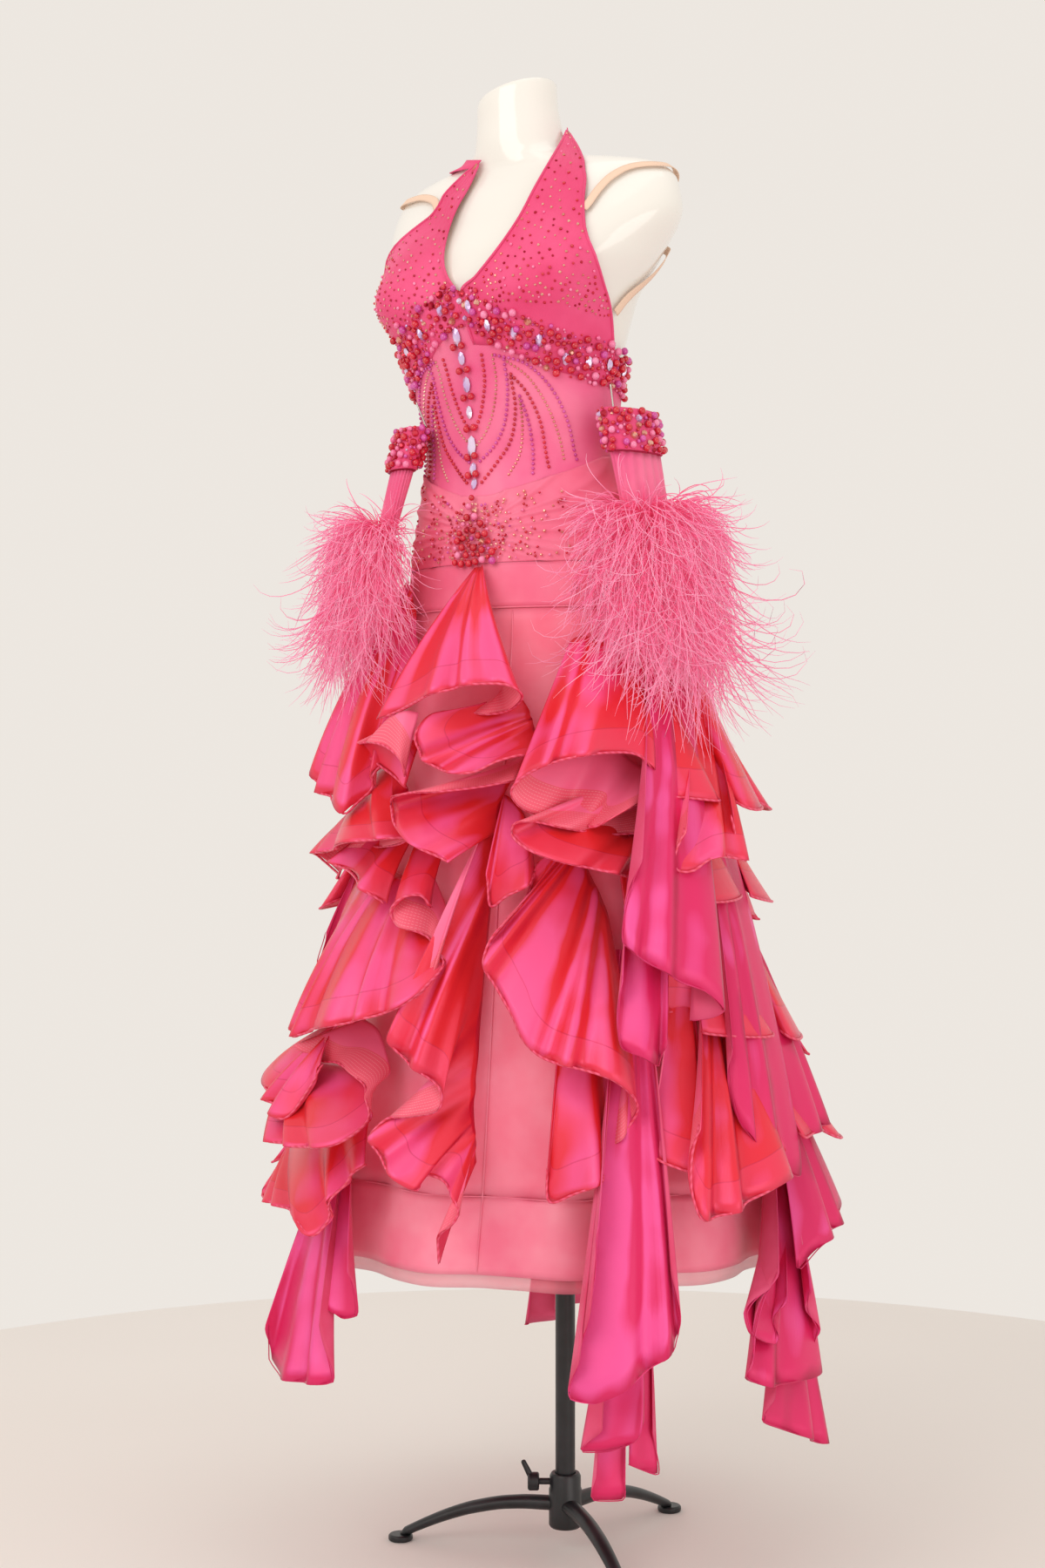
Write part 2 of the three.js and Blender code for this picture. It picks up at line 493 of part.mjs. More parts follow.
function drape(row) {
  const [, ta, za, tb, zb, ha, ya, hb, yb, outTop, outHem, depth, folds, curl, side] = row;
  const mid = (ya + yb) / 2, around = (Math.abs(hb - ha) * DEG)
    * ((column(GOWN, 3, mid) + column(GOWN, 4, mid)) / 2 + outHem);
  const pitch = around / folds;
  return (s, t) => {
    const grow = t ** GROWTH;
    const u = s + 0.03 * Math.sin(2 * Math.PI * s + folds);
    const phase = 2 * Math.PI * folds * s;
    const uneven = 0.86 + 0.14 * Math.cos(5.3 * s * folds + folds);
    const wave = side * Math.sin(phase) * uneven;
    const z = mix(mix(za, zb, s), mix(ya, yb, u), t) - LOBE_DROP * depth * wave * grow;
    const radius = (column(GOWN, 3, z) + column(GOWN, 4, z)) / 2 + outHem;
    const shift = -curl * pitch * grow * Math.sin(2 * phase) / radius / DEG;
    const turn = mix(mix(ta, tb, s), mix(ha, hb, s), t) + shift;
    return gown(turn, z, mix(outTop, outHem, t ** 1.15) + depth * wave * grow);
  };
}
for (const row of FLOUNCES) {
  const down = row[12] < 5 ? 3 : 2;      // the long back tiers are plainer
  add(row[0], wall(row[12] * FOLD_STEPS, down, drape(row)), 'satin', { roughness: 0.4 });
}
for (const row of FLOATS) {
  add(row[0], wall(row[12] * FOLD_STEPS, 3, drape(row), { thick: 1.6 }), 'floatPink');
}

// ---------------------------------------------------------------- detachable sleeves
// Each hangs from a pin at the waist: beaded band, sheer tube, feather puff.
const SLEEVES = [
  { side: 'left', turn: 78, clear: 33, bandTop: 1362, sleeveLow: 1150, wide: 40, deep: 19,
    lean: 52, puffTop: 1256, locks: 29, reach: 146, fall: 250 },
  { side: 'right', turn: -42, clear: 24, bandTop: 1354, sleeveLow: 1156, wide: 27, deep: 14,
    lean: 52, puffTop: 1246, locks: 23, reach: 104, fall: 250 },
];
const hash = (n) => { const x = Math.sin(n * 127.1 + 3.7) * 43758.5453; return x - Math.floor(x); };
for (const sleeve of SLEEVES) {
  const angle = sleeve.turn * DEG;
  const outward = new THREE.Vector3(Math.sin(angle), -Math.cos(angle), 0);
  const sideways = new THREE.Vector3(Math.cos(angle), Math.sin(angle), 0);
  const axis = (z) => {
    const p = gown(sleeve.turn, sleeve.bandTop - 60, sleeve.clear);
    return new THREE.Vector3(p.x, p.y, z).addScaledVector(outward,
      sleeve.lean * (sleeve.bandTop - z) / (sleeve.bandTop - sleeve.sleeveLow));
  };
  const round = (z, share, grow = 0) => axis(z)
    .addScaledVector(sideways, (sleeve.wide + grow) * Math.cos(2 * Math.PI * share))
    .addScaledVector(outward, (sleeve.deep + grow) * Math.sin(2 * Math.PI * share));
  const bandLow = sleeve.bandTop - 50;
  add(`sleeve_band_${sleeve.side}`, wall(18, 2, (s, t) => round(mix(sleeve.bandTop, bandLow, t),
    -s, 2), { closed: true, thick: 2.2, raise: (i, j) => ((i + j) % 2 ? 3.5 : 0.4) }), 'bead',
  { roughness: 0.25 });
  add(`sleeve_tube_${sleeve.side}`, wall(14, 2, (s, t) => round(mix(bandLow - 2,
    sleeve.sleeveLow, t), -s, -2 - 5 * t), { closed: true, thick: 1.4 }), 'sheer');
  // Backing band of the feathers, with the locks fused into it.
  const backTop = sleeve.puffTop - 20, backLow = sleeve.sleeveLow + 8;
  let puff = toManifold(wall(16, 2, (s, t) => round(mix(backTop, backLow, t), s, 1.6 - 3 * t),
    { closed: true, thick: 3 }));
  for (let k = 0; k < sleeve.locks; k += 1) {
    const level = (k + 0.5) / sleeve.locks;
    const swing = mix(-1.5, 1.5, (k * 0.618034 + 0.05 * hash(k)) % 1);
    const away = outward.clone().multiplyScalar(Math.cos(swing))
      .addScaledVector(sideways, Math.sin(swing));
    const z = mix(backTop - 6, backLow + 6, level);
    const share = Math.atan2(Math.cos(swing) / sleeve.deep, Math.sin(swing) / sleeve.wide)
      / (2 * Math.PI);
    const root = round(z, share, 0.8);
    const facing = 0.55 + 0.45 * Math.max(0, Math.cos(swing));
    const reach = sleeve.reach * facing * (0.75 + 0.4 * hash(k + 40));
    const lift = mix(52, -20, level);
    const fall = mix(20, sleeve.fall * facing, level) * (0.8 + 0.3 * hash(k + 90));
    const mid = root.clone().addScaledVector(away, reach * 0.62).setZ(z + lift);
    const tip = root.clone().addScaledVector(away, reach).setZ(z + lift - fall * 0.75);
    const lockRing = (centre, direction, radius) => {
      const u = new THREE.Vector3().crossVectors(direction, new THREE.Vector3(0, 0, 1)).normalize();
      const v = new THREE.Vector3().crossVectors(direction, u);
      return [0, 1, 2].map((i) => centre.clone()
        .addScaledVector(u, radius * Math.cos(2 * Math.PI * i / 3))
        .addScaledVector(v, radius * Math.sin(2 * Math.PI * i / 3)));
    };
    const first = mid.clone().sub(root).normalize(), second = tip.clone().sub(mid).normalize();
    puff = puff.add(toManifold(loft([lockRing(root, first, 3),
      lockRing(mid, first.clone().add(second).normalize(), 4.5), lockRing(tip, second, 1.2)])));
  }
  add(`feather_puff_${sleeve.side}`, fromManifold(puff), 'feather', { roughness: 0.9 });
  // Safety pin through the trim and the band.
  const waistPoint = gown(sleeve.turn, sleeve.bandTop + 34, 12);
  const bandPoint = round(sleeve.bandTop + 3, 0.75, 2);
  add(`sleeve_pin_${sleeve.side}`, bar(waistPoint, bandPoint, 1.6, 1.6, 6), 'pin',
    { metalness: 0.8, roughness: 0.3 });
}

const bounds = new THREE.Box3().setFromObject(group);
const centre = bounds.getCenter(new THREE.Vector3());
group.children.forEach((mesh) => mesh.geometry.translate(-centre.x, -centre.y, -bounds.min.z));

export default group;
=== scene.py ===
"""Ballroom dance gown with curling satin flounces, on a limbless dress form and a pole stand.

Sizes are in millimetres until a mesh is made; +Z is up and the gown's front faces -Y.
"""

import logging
import math
from dataclasses import dataclass, field
from enum import Enum
from functools import partial
from typing import Callable, NamedTuple, Sequence

import bmesh
import bpy
import numpy as np
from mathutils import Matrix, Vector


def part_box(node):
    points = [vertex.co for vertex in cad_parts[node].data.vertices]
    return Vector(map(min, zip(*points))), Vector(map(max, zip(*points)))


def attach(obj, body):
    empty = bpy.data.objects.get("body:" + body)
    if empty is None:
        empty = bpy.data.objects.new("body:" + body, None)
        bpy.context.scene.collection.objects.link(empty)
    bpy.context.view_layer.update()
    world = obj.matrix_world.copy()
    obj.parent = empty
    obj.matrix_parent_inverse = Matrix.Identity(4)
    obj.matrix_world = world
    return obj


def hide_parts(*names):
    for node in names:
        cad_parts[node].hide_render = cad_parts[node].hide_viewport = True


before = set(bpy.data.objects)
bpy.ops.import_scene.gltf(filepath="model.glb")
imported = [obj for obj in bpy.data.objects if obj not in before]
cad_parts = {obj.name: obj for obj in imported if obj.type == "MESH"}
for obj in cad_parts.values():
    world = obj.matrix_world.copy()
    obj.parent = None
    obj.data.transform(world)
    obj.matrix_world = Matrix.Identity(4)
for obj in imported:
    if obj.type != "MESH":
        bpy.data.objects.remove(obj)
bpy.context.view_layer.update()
LOG = logging.getLogger("gown")
MM = 0.001
Array = np.ndarray
Place = Callable[[Array, Array], Array]


# ------------------------------------------------------------------ section tables
BODY_ROWS = (
    # z, centre x, centre y, half width, front depth, back depth
    (985, -10, -40, 146, 100, 104), (1060, -11, -42, 156, 106, 110),
    (1150, -12, -44, 156, 104, 110), (1195, -14, -45, 151, 100, 106),
    (1260, -22, -48, 134, 91, 96), (1330, -30, -51, 121, 83, 87),
    (1400, -34, -53, 130, 89, 90), (1450, -37, -54, 143, 98, 98),
    (1500, -36, -54, 157, 105, 104), (1550, -25, -52, 180, 102, 104),
    (1600, -17, -46, 199, 86, 96), (1635, -17, -42, 192, 70, 80),
    (1655, -20, -40, 174, 57, 63), (1668, -31, -40, 132, 49, 54),
    (1678, -36, -40, 76, 50, 53), (1694, -38, -41, 57, 51, 52),
    (1725, -39, -43, 52, 48, 50), (1745, -40, -45, 50, 46, 48),
)
SKIRT_ROWS = (
    (0, -14, -12, 295, 284, 284), (380, -14, -12, 295, 284, 284),
    (470, -13, -16, 276, 262, 262), (650, -11, -24, 244, 222, 222),
    (850, -8, -32, 210, 182, 182), (1000, -10, -38, 192, 152, 152),
    (1122, -10, -44, 172, 124, 126), (1195, -12, -45, 163, 114, 118),
    (1260, -21, -48, 143, 100, 105),
)
FORM_CLEAR = 4
TRIM_LOW = ((-180, 1386), (-112, 1388), (-75, 1398), (-45, 1412), (-24, 1432), (-6, 1462),
            (3, 1464), (16, 1436), (45, 1408), (75, 1396), (112, 1388), (180, 1386))
TRIM_HIGH = ((-180, 1420), (-112, 1424), (-75, 1440), (-45, 1454), (-24, 1472), (-6, 1502),
             (3, 1504), (16, 1476), (45, 1448), (75, 1436), (112, 1424), (180, 1420))
SWATHE_HIGH = ((-180, 1322), (-90, 1316), (-50, 1300), (-12, 1268), (4, 1266), (40, 1288),
               (75, 1312), (110, 1318), (180, 1322))
YOKE_TOP, YOKE_BOTTOM = 1186, 1134
SKIRT_HEM, BAND_TOP, NET_HEM = 386, 470, 370


def rows_at(rows: Sequence[Sequence[float]], x: Array) -> Array:
    """Straight-line reading of a short table of (x, y) rows.

    Args:
        rows: the table, rising in x.
        x: where it is read.

    Returns:
        The y values.
    """
    table = np.array(rows, float)
    return np.interp(x, table[:, 0], table[:, 1])


def smooth(t: Array) -> Array:
    """Ease from 0 to 1."""
    t = np.clip(t, 0, 1)
    return t * t * (3 - 2 * t)


def wrap(turn: Array) -> Array:
    """Degrees brought into -180 to 180."""
    return (np.asarray(turn, float) + 540) % 360 - 180


def hermite(knots: Array, rows: Array, at: Array, monotone: bool = False) -> Array:
    """A smooth curve through rows.

    Args:
        knots: the parameter of each row, rising.
        rows: one row of values for each knot.
        at: where the curve is read.
        monotone: keeps the curve from passing beyond its rows.

    Returns:
        One row of values for each place.
    """
    step = np.diff(knots)[:, None]
    slope = np.diff(rows, axis=0) / step
    tangent = np.empty_like(rows)
    tangent[0], tangent[-1] = slope[0], slope[-1]
    if monotone:
        product = slope[:-1] * slope[1:]
        total = slope[:-1] + slope[1:]
        safe = np.where(np.abs(total) < 1e-12, 1, total)
        tangent[1:-1] = np.where(product > 0, 2 * product / safe, 0)
    else:
        tangent[1:-1] = (slope[:-1] * step[1:] + slope[1:] * step[:-1]) / (step[1:] + step[:-1])
    i = np.clip(np.searchsorted(knots, at, side="right") - 1, 0, len(knots) - 2)
    h = step[i]
    u = ((at - knots[i]) / h[:, 0])[:, None]
    return ((2 * u ** 3 - 3 * u ** 2 + 1) * rows[i] + (u ** 3 - 2 * u ** 2 + u) * h * tangent[i]
            + (3 * u ** 2 - 2 * u ** 3) * rows[i + 1] + (u ** 3 - u ** 2) * h * tangent[i + 1])


class Sections:
    """Sizes of a body or skirt at every height, read smoothly from a short table."""

    def __init__(self, rows: Sequence[Sequence[float]]) -> None:
        """Fill a reading for each millimetre of height."""
        table = np.array(rows, float)
        self.heights = np.arange(table[0, 0], table[-1, 0] + 1)
        self.values = hermite(table[:, 0], table[:, 1:], self.heights, monotone=True)

    def at(self, z: Array) -> list[Array]:
        """Centre x, centre y, half width, front depth and back depth at a height."""
        return [np.interp(z, self.heights, self.values[:, k]) for k in range(5)]

    def point(self, turn: Array, z: Array, out: Array) -> Array:
        """Points of the surface.

        Args:
            turn: degrees from the front towards the wearer's left.
            z: height.
            out: clear space outside the surface.

        Returns:
            One row of x, y, z for each point.
        """
        turn, z, out = np.broadcast_arrays(*(np.asarray(v, float) for v in (turn, z, out)))
        cx, cy, half, front, back = self.at(z)
        angle = np.radians(turn)
        depth = back + (front - back) * smooth((np.cos(angle) + 1) / 2)
        rise = bust_rise(turn, z) + out
        return np.stack([cx + (half + rise) * np.sin(angle),
                         cy - (depth + rise) * np.cos(angle), z], -1)

    def locate(self, points: Array) -> Array:
        """Turn of each point, found by closing in on it.

        Args:
            points: in millimetres.

        Returns:
            Degrees from the front towards the wearer's left.
        """
        cx, cy, half, front, back = self.at(points[:, 2])
        x, y = points[:, 0] - cx, -(points[:, 1] - cy)
        turn = np.degrees(np.arctan2(x, y))
        for _ in range(6):
            depth = back + (front - back) * smooth((np.cos(np.radians(turn)) + 1) / 2)
            rise = bust_rise(turn, points[:, 2])
            turn = np.degrees(np.arctan2(x / (half + rise), y / (depth + rise)))
        return turn

    def keep_out(self, points: Array, out: float) -> Array:
        """Points moved out where they are closer than a clear space to the surface.

        Args:
            points: in millimetres.
            out: the clear space.

        Returns:
            The points, moved where needed.
        """
        wall = self.point(self.locate(points), points[:, 2], out)
        cx, cy = self.at(points[:, 2])[:2]
        near = (np.hypot(points[:, 0] - cx, points[:, 1] - cy)
                < np.hypot(wall[:, 0] - cx, wall[:, 1] - cy))
        return np.where(near[:, None], wall, points)


def bust_rise(turn: Array, z: Array) -> Array:
    """How far the bust stands out of the plain sections.

    Args:
        turn: degrees from the front towards the wearer's left.
        z: height.

    Returns:
        The rise in millimetres.
    """
    reach = np.where(z > 1500, 60, 42)
    tall = np.exp(-(((z - 1500) / reach) ** 2))
    left = np.exp(-(((wrap(turn) - 35) / 24) ** 2))
    right = np.exp(-(((wrap(turn) + 35) / 24) ** 2))
    return 36 * tall * (left + right)


BODY = Sections(BODY_ROWS)
GOWN = Sections(SKIRT_ROWS + tuple(
    (z, cx, cy, half + FORM_CLEAR, front + FORM_CLEAR, back + FORM_CLEAR)
    for z, cx, cy, half, front, back in BODY_ROWS if z >= 1330))


def underskirt(turn: Array, z: Array, out: Array = 0.0) -> Array:
    """Points of the underskirt, which falls in ten soft flutes.

    Args:
        turn: degrees from the front towards the wearer's left.
        z: height.
        out: clear space outside it.

    Returns:
        One row of x, y, z for each point.
    """
    reach = smooth((860 - np.asarray(z, float)) / 460)
    tuck = 3 - 4.2 * smooth((np.asarray(z, float) - 1085) / 48)
    return GOWN.point(turn, z, out - tuck + 9 * reach * (np.cos(10 * np.radians(turn)) - 1))


def pole_offset() -> Array:
    """Where the pole's axis stands in the frame, in millimetres."""
    low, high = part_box("stand_pole")
    return np.array([(low.x + high.x) / 2, (low.y + high.y) / 2, 0.0]) / MM


OFFSET = pole_offset()


# ------------------------------------------------------------------ the view
@dataclass(frozen=True)
class View:
    """The camera, level, looking at the pole's axis from 33 degrees to the wearer's left."""

    turn: float = 33.0
    away: float = 2900.0
    height: float = 930.0
    aside: float = -52.0
    focal: float = 2740.0
    width: int = 1200
    tall: int = 1800

    @property
    def back(self) -> Array:
        """Unit direction from the object to the camera."""
        a = math.radians(self.turn)
        return np.array([math.sin(a), -math.cos(a), 0.0])

    @property
    def right(self) -> Array:
        """Unit direction to the right of the frame."""
        a = math.radians(self.turn)
        return np.array([math.cos(a), math.sin(a), 0.0])

    @property
    def place(self) -> Array:
        """Place of the camera."""
        return self.back * self.away + self.right * self.aside + np.array([0, 0, self.height])

    def seen(self, across: float, down: float, out: float) -> Array:
        """Point of the gown's surface, moved out, that lies on one line of sight.

        Args:
            across: place across the frame, 0 to 1200.
            down: place down the frame, 0 to 1800.
            out: clear space outside the gown.

        Returns:
            x, y, z of the first such point, or of the nearest one.
        """
        ray = (-self.back + self.right * (across - self.width / 2) / self.focal
               - np.array([0, 0, 1.0]) * (down - self.tall / 2) / self.focal)
        far = np.arange(self.away - 520, self.away + 420, 1.5)
        points = self.place + ray * far[:, None]
        cx, cy, half, front, back = GOWN.at(points[:, 2])
        x, y = points[:, 0] - cx, -(points[:, 1] - cy)
        depth = (front + back) / 2
        for _ in range(3):
            turn = np.arctan2(x / (half + out), y / (depth + out))
            depth = back + (front - back) * smooth((np.cos(turn) + 1) / 2)
        share = (x / (half + out)) ** 2 + (y / (depth + out)) ** 2
        inside = np.flatnonzero(share <= 1)
        i = inside[0] if len(inside) else int(np.argmin(share))
        return GOWN.point(np.degrees(turn[i]), points[i, 2], out)

    def build(self) -> None:
        """Create the camera and make it the scene's own."""
        data = bpy.data.cameras.new("view")
        data.sensor_fit = "VERTICAL"
        data.sensor_height = 24.0
        data.lens = 24.0 * self.focal / self.tall
        camera = bpy.data.objects.new("view", data)
        camera.location = (self.place + OFFSET) * MM
        camera.rotation_euler = (math.pi / 2, 0, math.radians(self.turn))
        bpy.context.scene.collection.objects.link(camera)
        bpy.context.scene.camera = camera


VIEW = View()


# ------------------------------------------------------------------ finishes
def linear(hex_colour: str) -> tuple[float, float, float, float]:
    """Linear colour of an sRGB hex value."""
    parts = [int(hex_colour[i:i + 2], 16) / 255 for i in (1, 3, 5)]
    return (*(c / 12.92 if c <= 0.04045 else ((c + 0.055) / 1.055) ** 2.4 for c in parts), 1.0)


def add_node(tree: bpy.types.NodeTree, kind: str, inputs: dict | Sequence = (),
             stops: Sequence[tuple[float, str]] = (), **settings: object) -> bpy.types.Node:
    """Add a node with its settings and links.

    Args:
        tree: the material's node tree.
        kind: the node's type name after "ShaderNode".
        inputs: what each input takes, by name or in order: a constant, a socket, or a node
            whose first live output is meant.
        stops: place and sRGB hex value of each stop of a colour ramp.
        settings: properties of the node.

    Returns:
        The new node.
    """
    node = tree.nodes.new(f"ShaderNode{kind}")
    for key, value in settings.items():
        setattr(node, key, value)
    by_name = isinstance(inputs, dict)
    sockets = node.inputs if by_name else [s for s in node.inputs if s.enabled]
    for key, value in inputs.items() if by_name else enumerate(inputs):
        if isinstance(value, bpy.types.Node):
            value = next(s for s in value.outputs if s.enabled)
        if isinstance(value, bpy.types.NodeSocket):
            tree.links.new(value, sockets[key])
        else:
            sockets[key].default_value = value
    if stops:
        elements = node.color_ramp.elements
        while len(elements) < len(stops):
            elements.new(0.5)
        for element, (place, colour) in zip(elements, stops):
            element.position, element.color = place, linear(colour)
    return node


def new_material(name: str) -> tuple[bpy.types.Material, Callable[..., bpy.types.Node]]:
    """An empty material, and add_node for its tree.

    Args:
        name: the finish's name.

    Returns:
        The material, and the function that adds a node to it.
    """
    material = bpy.data.materials.new(name)
    material.use_nodes = True
    material.node_tree.nodes.clear()
    return material, partial(add_node, material.node_tree)


def waves(add: Callable[..., bpy.types.Node], along: bpy.types.NodeSocket, pitch: float,
          operation: str = "SINE") -> bpy.types.Node:
    """Waves of a real size along a coordinate, -1 to 1.

    Args:
        add: adds a node to the material.
        along: the coordinate, in metres.
        pitch: length of one wave in metres.
        operation: the wave's function.

    Returns:
        The node that gives the wave.
    """
    turn = add("Math", (along, 2 * math.pi / pitch), operation="MULTIPLY")
    return add("Math", (turn,), operation=operation)


@dataclass(frozen=True)
class Satin:
    """Duchesse satin woven with a pink warp on a red weft: a broad painted highlight and painted
    shade, no hard highlight.
    """

    name: str
    # deep is a painted shade colour and light a painted highlight colour; warm is the cloth's own
    # red.
    deep: str = "#C40A26"
    warm: str = "#E62A30"
    light: str = "#F2548E"
    band_tone: str = "#F0527C"
    seam_tone: str = "#B81638"
    gloss: float = 0.27
    band: float = 0.038
    seam: float = 0.0009
    thread: float = 0.0009
    crease: float = 0.32

    def build(self) -> bpy.types.Material:
        """Make the material: painted highlight and shade turn its colour with the creases, and its
        hem band has a seam.
        """
        material, add = new_material(self.name)
        uv = add("UVMap", uv_map="cloth")
        split = add("SeparateXYZ", (uv,)).outputs
        place = add("TexCoord").outputs["Object"]
        # Long soft creases run down from the gathers, and small ones cross them.
        long = add("Mapping", {"Vector": uv, "Scale": (5.0, 2.6, 1.0)})
        crease = add("TexNoise", {"Vector": long, "Scale": 1.0, "Detail": 1.0,
                                  "Distortion": 1.2})
        small = add("TexNoise", {"Vector": place, "Scale": 34.0, "Detail": 2.0})
        # Painted highlight and shade: pink where the creased cloth faces front, back or up, deep
        # red painted shade where it faces aside or down.
        creased = add("Bump", {"Strength": 1.0, "Distance": 0.05, "Height": crease})
        # level is the painted highlight from facing front or back.
        level = add("VectorMath", (creased, (0.25, -0.82, 0.0)), operation="DOT_PRODUCT")
        level = add("Math", (level,), operation="ABSOLUTE")
        painted_top_light = add("SeparateXYZ", (creased,)).outputs["Z"]
        painted_light_and_drift = add("Math", (painted_top_light, 0.5, level), operation="MULTIPLY_ADD")
        # It also drifts from one tone to the other over 60 to 120 mm.
        drift = add("TexNoise", {"Vector": place, "Scale": 9.0, "Detail": 2.0})
        drift = add("Math", (drift, 1.1, -0.55), operation="MULTIPLY_ADD")
        painted_light_and_drift = add("Math", (painted_light_and_drift, drift), operation="ADD")
        # The ramp runs from painted shade (deep) through the cloth's red (warm) to painted
        # highlight (light).
        colour = add("ValToRGB", (painted_light_and_drift,), ((0.0, self.deep), (0.42, self.warm),
                                           (0.78, self.warm), (1.0, self.light)))
        # The doubled band at the hem is a little paler, with its seam sunk between.
        band = add("Math", (split["Y"], self.band), operation="LESS_THAN")
        seam = add("Math", (split["Y"], self.band, self.seam), operation="COMPARE")
        for mask, share, tone in ((band, 0.28, self.band_tone), (seam, 0.35, self.seam_tone)):
            mask = add("Math", (mask, share), operation="MULTIPLY")
            colour = add("Mix", (mask, colour, linear(tone)), data_type="RGBA")
        # Warp threads are drawn at 0.9 mm so that they show; the real ones are 0.1 mm.
        height = crease
        for part, tall in ((small, 0.12), (waves(add, split["X"], self.thread), 0.008),
                           (seam, -0.16)):
            height = add("Math", (part, tall, height), operation="MULTIPLY_ADD")
        normal = add("Bump", {"Strength": self.crease, "Distance": 0.009, "Height": height})
        shader = add("BsdfPrincipled", {
            "Base Color": colour, "Normal": normal, "Roughness": self.gloss, "IOR": 2.0,
            "Specular Tint": linear("#FF8EBC"), "Sheen Weight": 0.12, "Sheen Roughness": 0.35,
            "Sheen Tint": linear("#FBB0D0")})
        add("OutputMaterial", {"Surface": shader})
        return material


@dataclass(frozen=True)
class Facing:
    """Back of a flounce: coral facing stitched in close rows over a stiff band at the hem."""

    name: str
    cloth: str = "#F25C78"
    thread: str = "#FA9CA8"
    above: str = "#FA6C98"
    band: float = 0.04
    row: float = 0.0042
    stitch: float = 0.003

    def build(self) -> bpy.types.Material:
        """Make the material."""
        material, add = new_material(self.name)
        split = add("SeparateXYZ", (add("UVMap", uv_map="cloth"),)).outputs
        inside = add("Math", (split["Y"], self.band), operation="LESS_THAN")
        line = add("Math", (waves(add, split["Y"], self.row, "COSINE"), 0.72),
                   operation="GREATER_THAN")
        line = add("Math", (line, inside), operation="MULTIPLY")
        stitch = add("Math", (waves(add, split["X"], self.stitch), -0.5),
                     operation="GREATER_THAN")
        dash = add("Math", (line, stitch), operation="MULTIPLY")
        dash = add("Math", (dash, 0.6), operation="MULTIPLY")
        colour = add("Mix", (inside, linear(self.above), linear(self.cloth)),
                     data_type="RGBA")
        colour = add("Mix", (dash, colour, linear(self.thread)), data_type="RGBA")
        height = add("Math", (line, -0.8, 1.0), operation="MULTIPLY_ADD")
        normal = add("Bump", {"Strength": 0.5, "Distance": 0.0012, "Height": height})
        shader = add("BsdfPrincipled", {
            "Base Color": colour, "Normal": normal, "Roughness": 0.52, "Sheen Weight": 0.3,
            "Sheen Roughness": 0.4, "Sheen Tint": linear("#F9B3BE")})
        add("OutputMaterial", {"Surface": shader})
        return material


@dataclass(frozen=True)
class RolledEdge:
    """Edge rolled with satin and twisted: slanting bars of two pinks."""

    name: str
    one: str = "#EE5A80"
    other: str = "#DC3656"
    twist: float = 0.009

    def build(self) -> bpy.types.Material:
        """Make the material."""
        material, add = new_material(self.name)
        split = add("SeparateXYZ", (add("UVMap", uv_map="cloth"),)).outputs
        turn = add("Math", (split["Y"], 2 * math.pi), operation="MULTIPLY")
        turn = add("Math", (split["X"], 2 * math.pi / self.twist, turn),
                   operation="MULTIPLY_ADD")
        bars = add("Math", (turn,), operation="SINE")
        bars = add("Math", (bars, 0.5, 0.5), operation="MULTIPLY_ADD")
        colour = add("Mix", (bars, linear(self.one), linear(self.other)), data_type="RGBA")
        shader = add("BsdfPrincipled", {"Base Color": colour, "Roughness": 0.36})
        add("OutputMaterial", {"Surface": shader})
        return material


@dataclass(frozen=True)
class Weave:
    """A plain or knitted cloth: thread relief, small tone changes and a soft sheen."""

    name: str
    dark: str
    light: str
    thread: float = 0.0012
    gloss: float = 0.62
    sheen: float = 0.35
    tint: str = "#F8B0C4"
    clear: float = 1.0
    relief: float = 0.35

    def build(self) -> bpy.types.Material:
        """Make the material."""
        material, add = new_material(self.name)
        split = add("SeparateXYZ", (add("UVMap", uv_map="cloth"),)).outputs
        weave = add("Math", (waves(add, split["X"], self.thread),
                             waves(add, split["Y"], self.thread)), operation="MULTIPLY")
        cloud = add("TexNoise", {"Vector": add("TexCoord").outputs["Object"], "Scale": 14.0,
                                 "Detail": 3.0})
        tone = add("Math", (weave, 0.06, cloud), operation="MULTIPLY_ADD")
        colour = add("ValToRGB", (tone,), ((0.32, self.dark), (0.68, self.light)))
        height = add("Math", (weave, 0.15, cloud), operation="MULTIPLY_ADD")
        normal = add("Bump", {"Strength": self.relief, "Distance": 0.0012, "Height": height})
        shader = add("BsdfPrincipled", {
            "Base Color": colour, "Normal": normal, "Roughness": self.gloss,
            "Sheen Weight": self.sheen, "Sheen Roughness": 0.4,
            "Sheen Tint": linear(self.tint), "Alpha": self.clear})
        add("OutputMaterial", {"Surface": shader})
        return material


@dataclass(frozen=True)
class Solid:
    """A hard finish: gloss plastic, painted steel, pearl, crystal or plated steel."""

    name: str
    colour: str
    other: str
    gloss: float = 0.2
    metal: float = 0.0
    coat: float = 0.0
    grain: float = 40.0
    relief: float = 0.05

    def build(self) -> bpy.types.Material:
        """Make the material: a slow tone change and a fine surface grain."""
        material, add = new_material(self.name)
        place = add("TexCoord").outputs["Object"]
        cloud = add("TexNoise", {"Vector": place, "Scale": self.grain, "Detail": 2.0})
        colour = add("ValToRGB", (cloud,), ((0.35, self.colour), (0.65, self.other)))
        fine = add("TexNoise", {"Vector": place, "Scale": self.grain * 12})
        normal = add("Bump", {"Strength": self.relief, "Distance": 0.0004, "Height": fine})
        shader = add("BsdfPrincipled", {
            "Base Color": colour, "Normal": normal, "Roughness": self.gloss,
            "Metallic": self.metal, "Coat Weight": self.coat, "Coat Roughness": 0.08})
        add("OutputMaterial", {"Surface": shader})
        return material


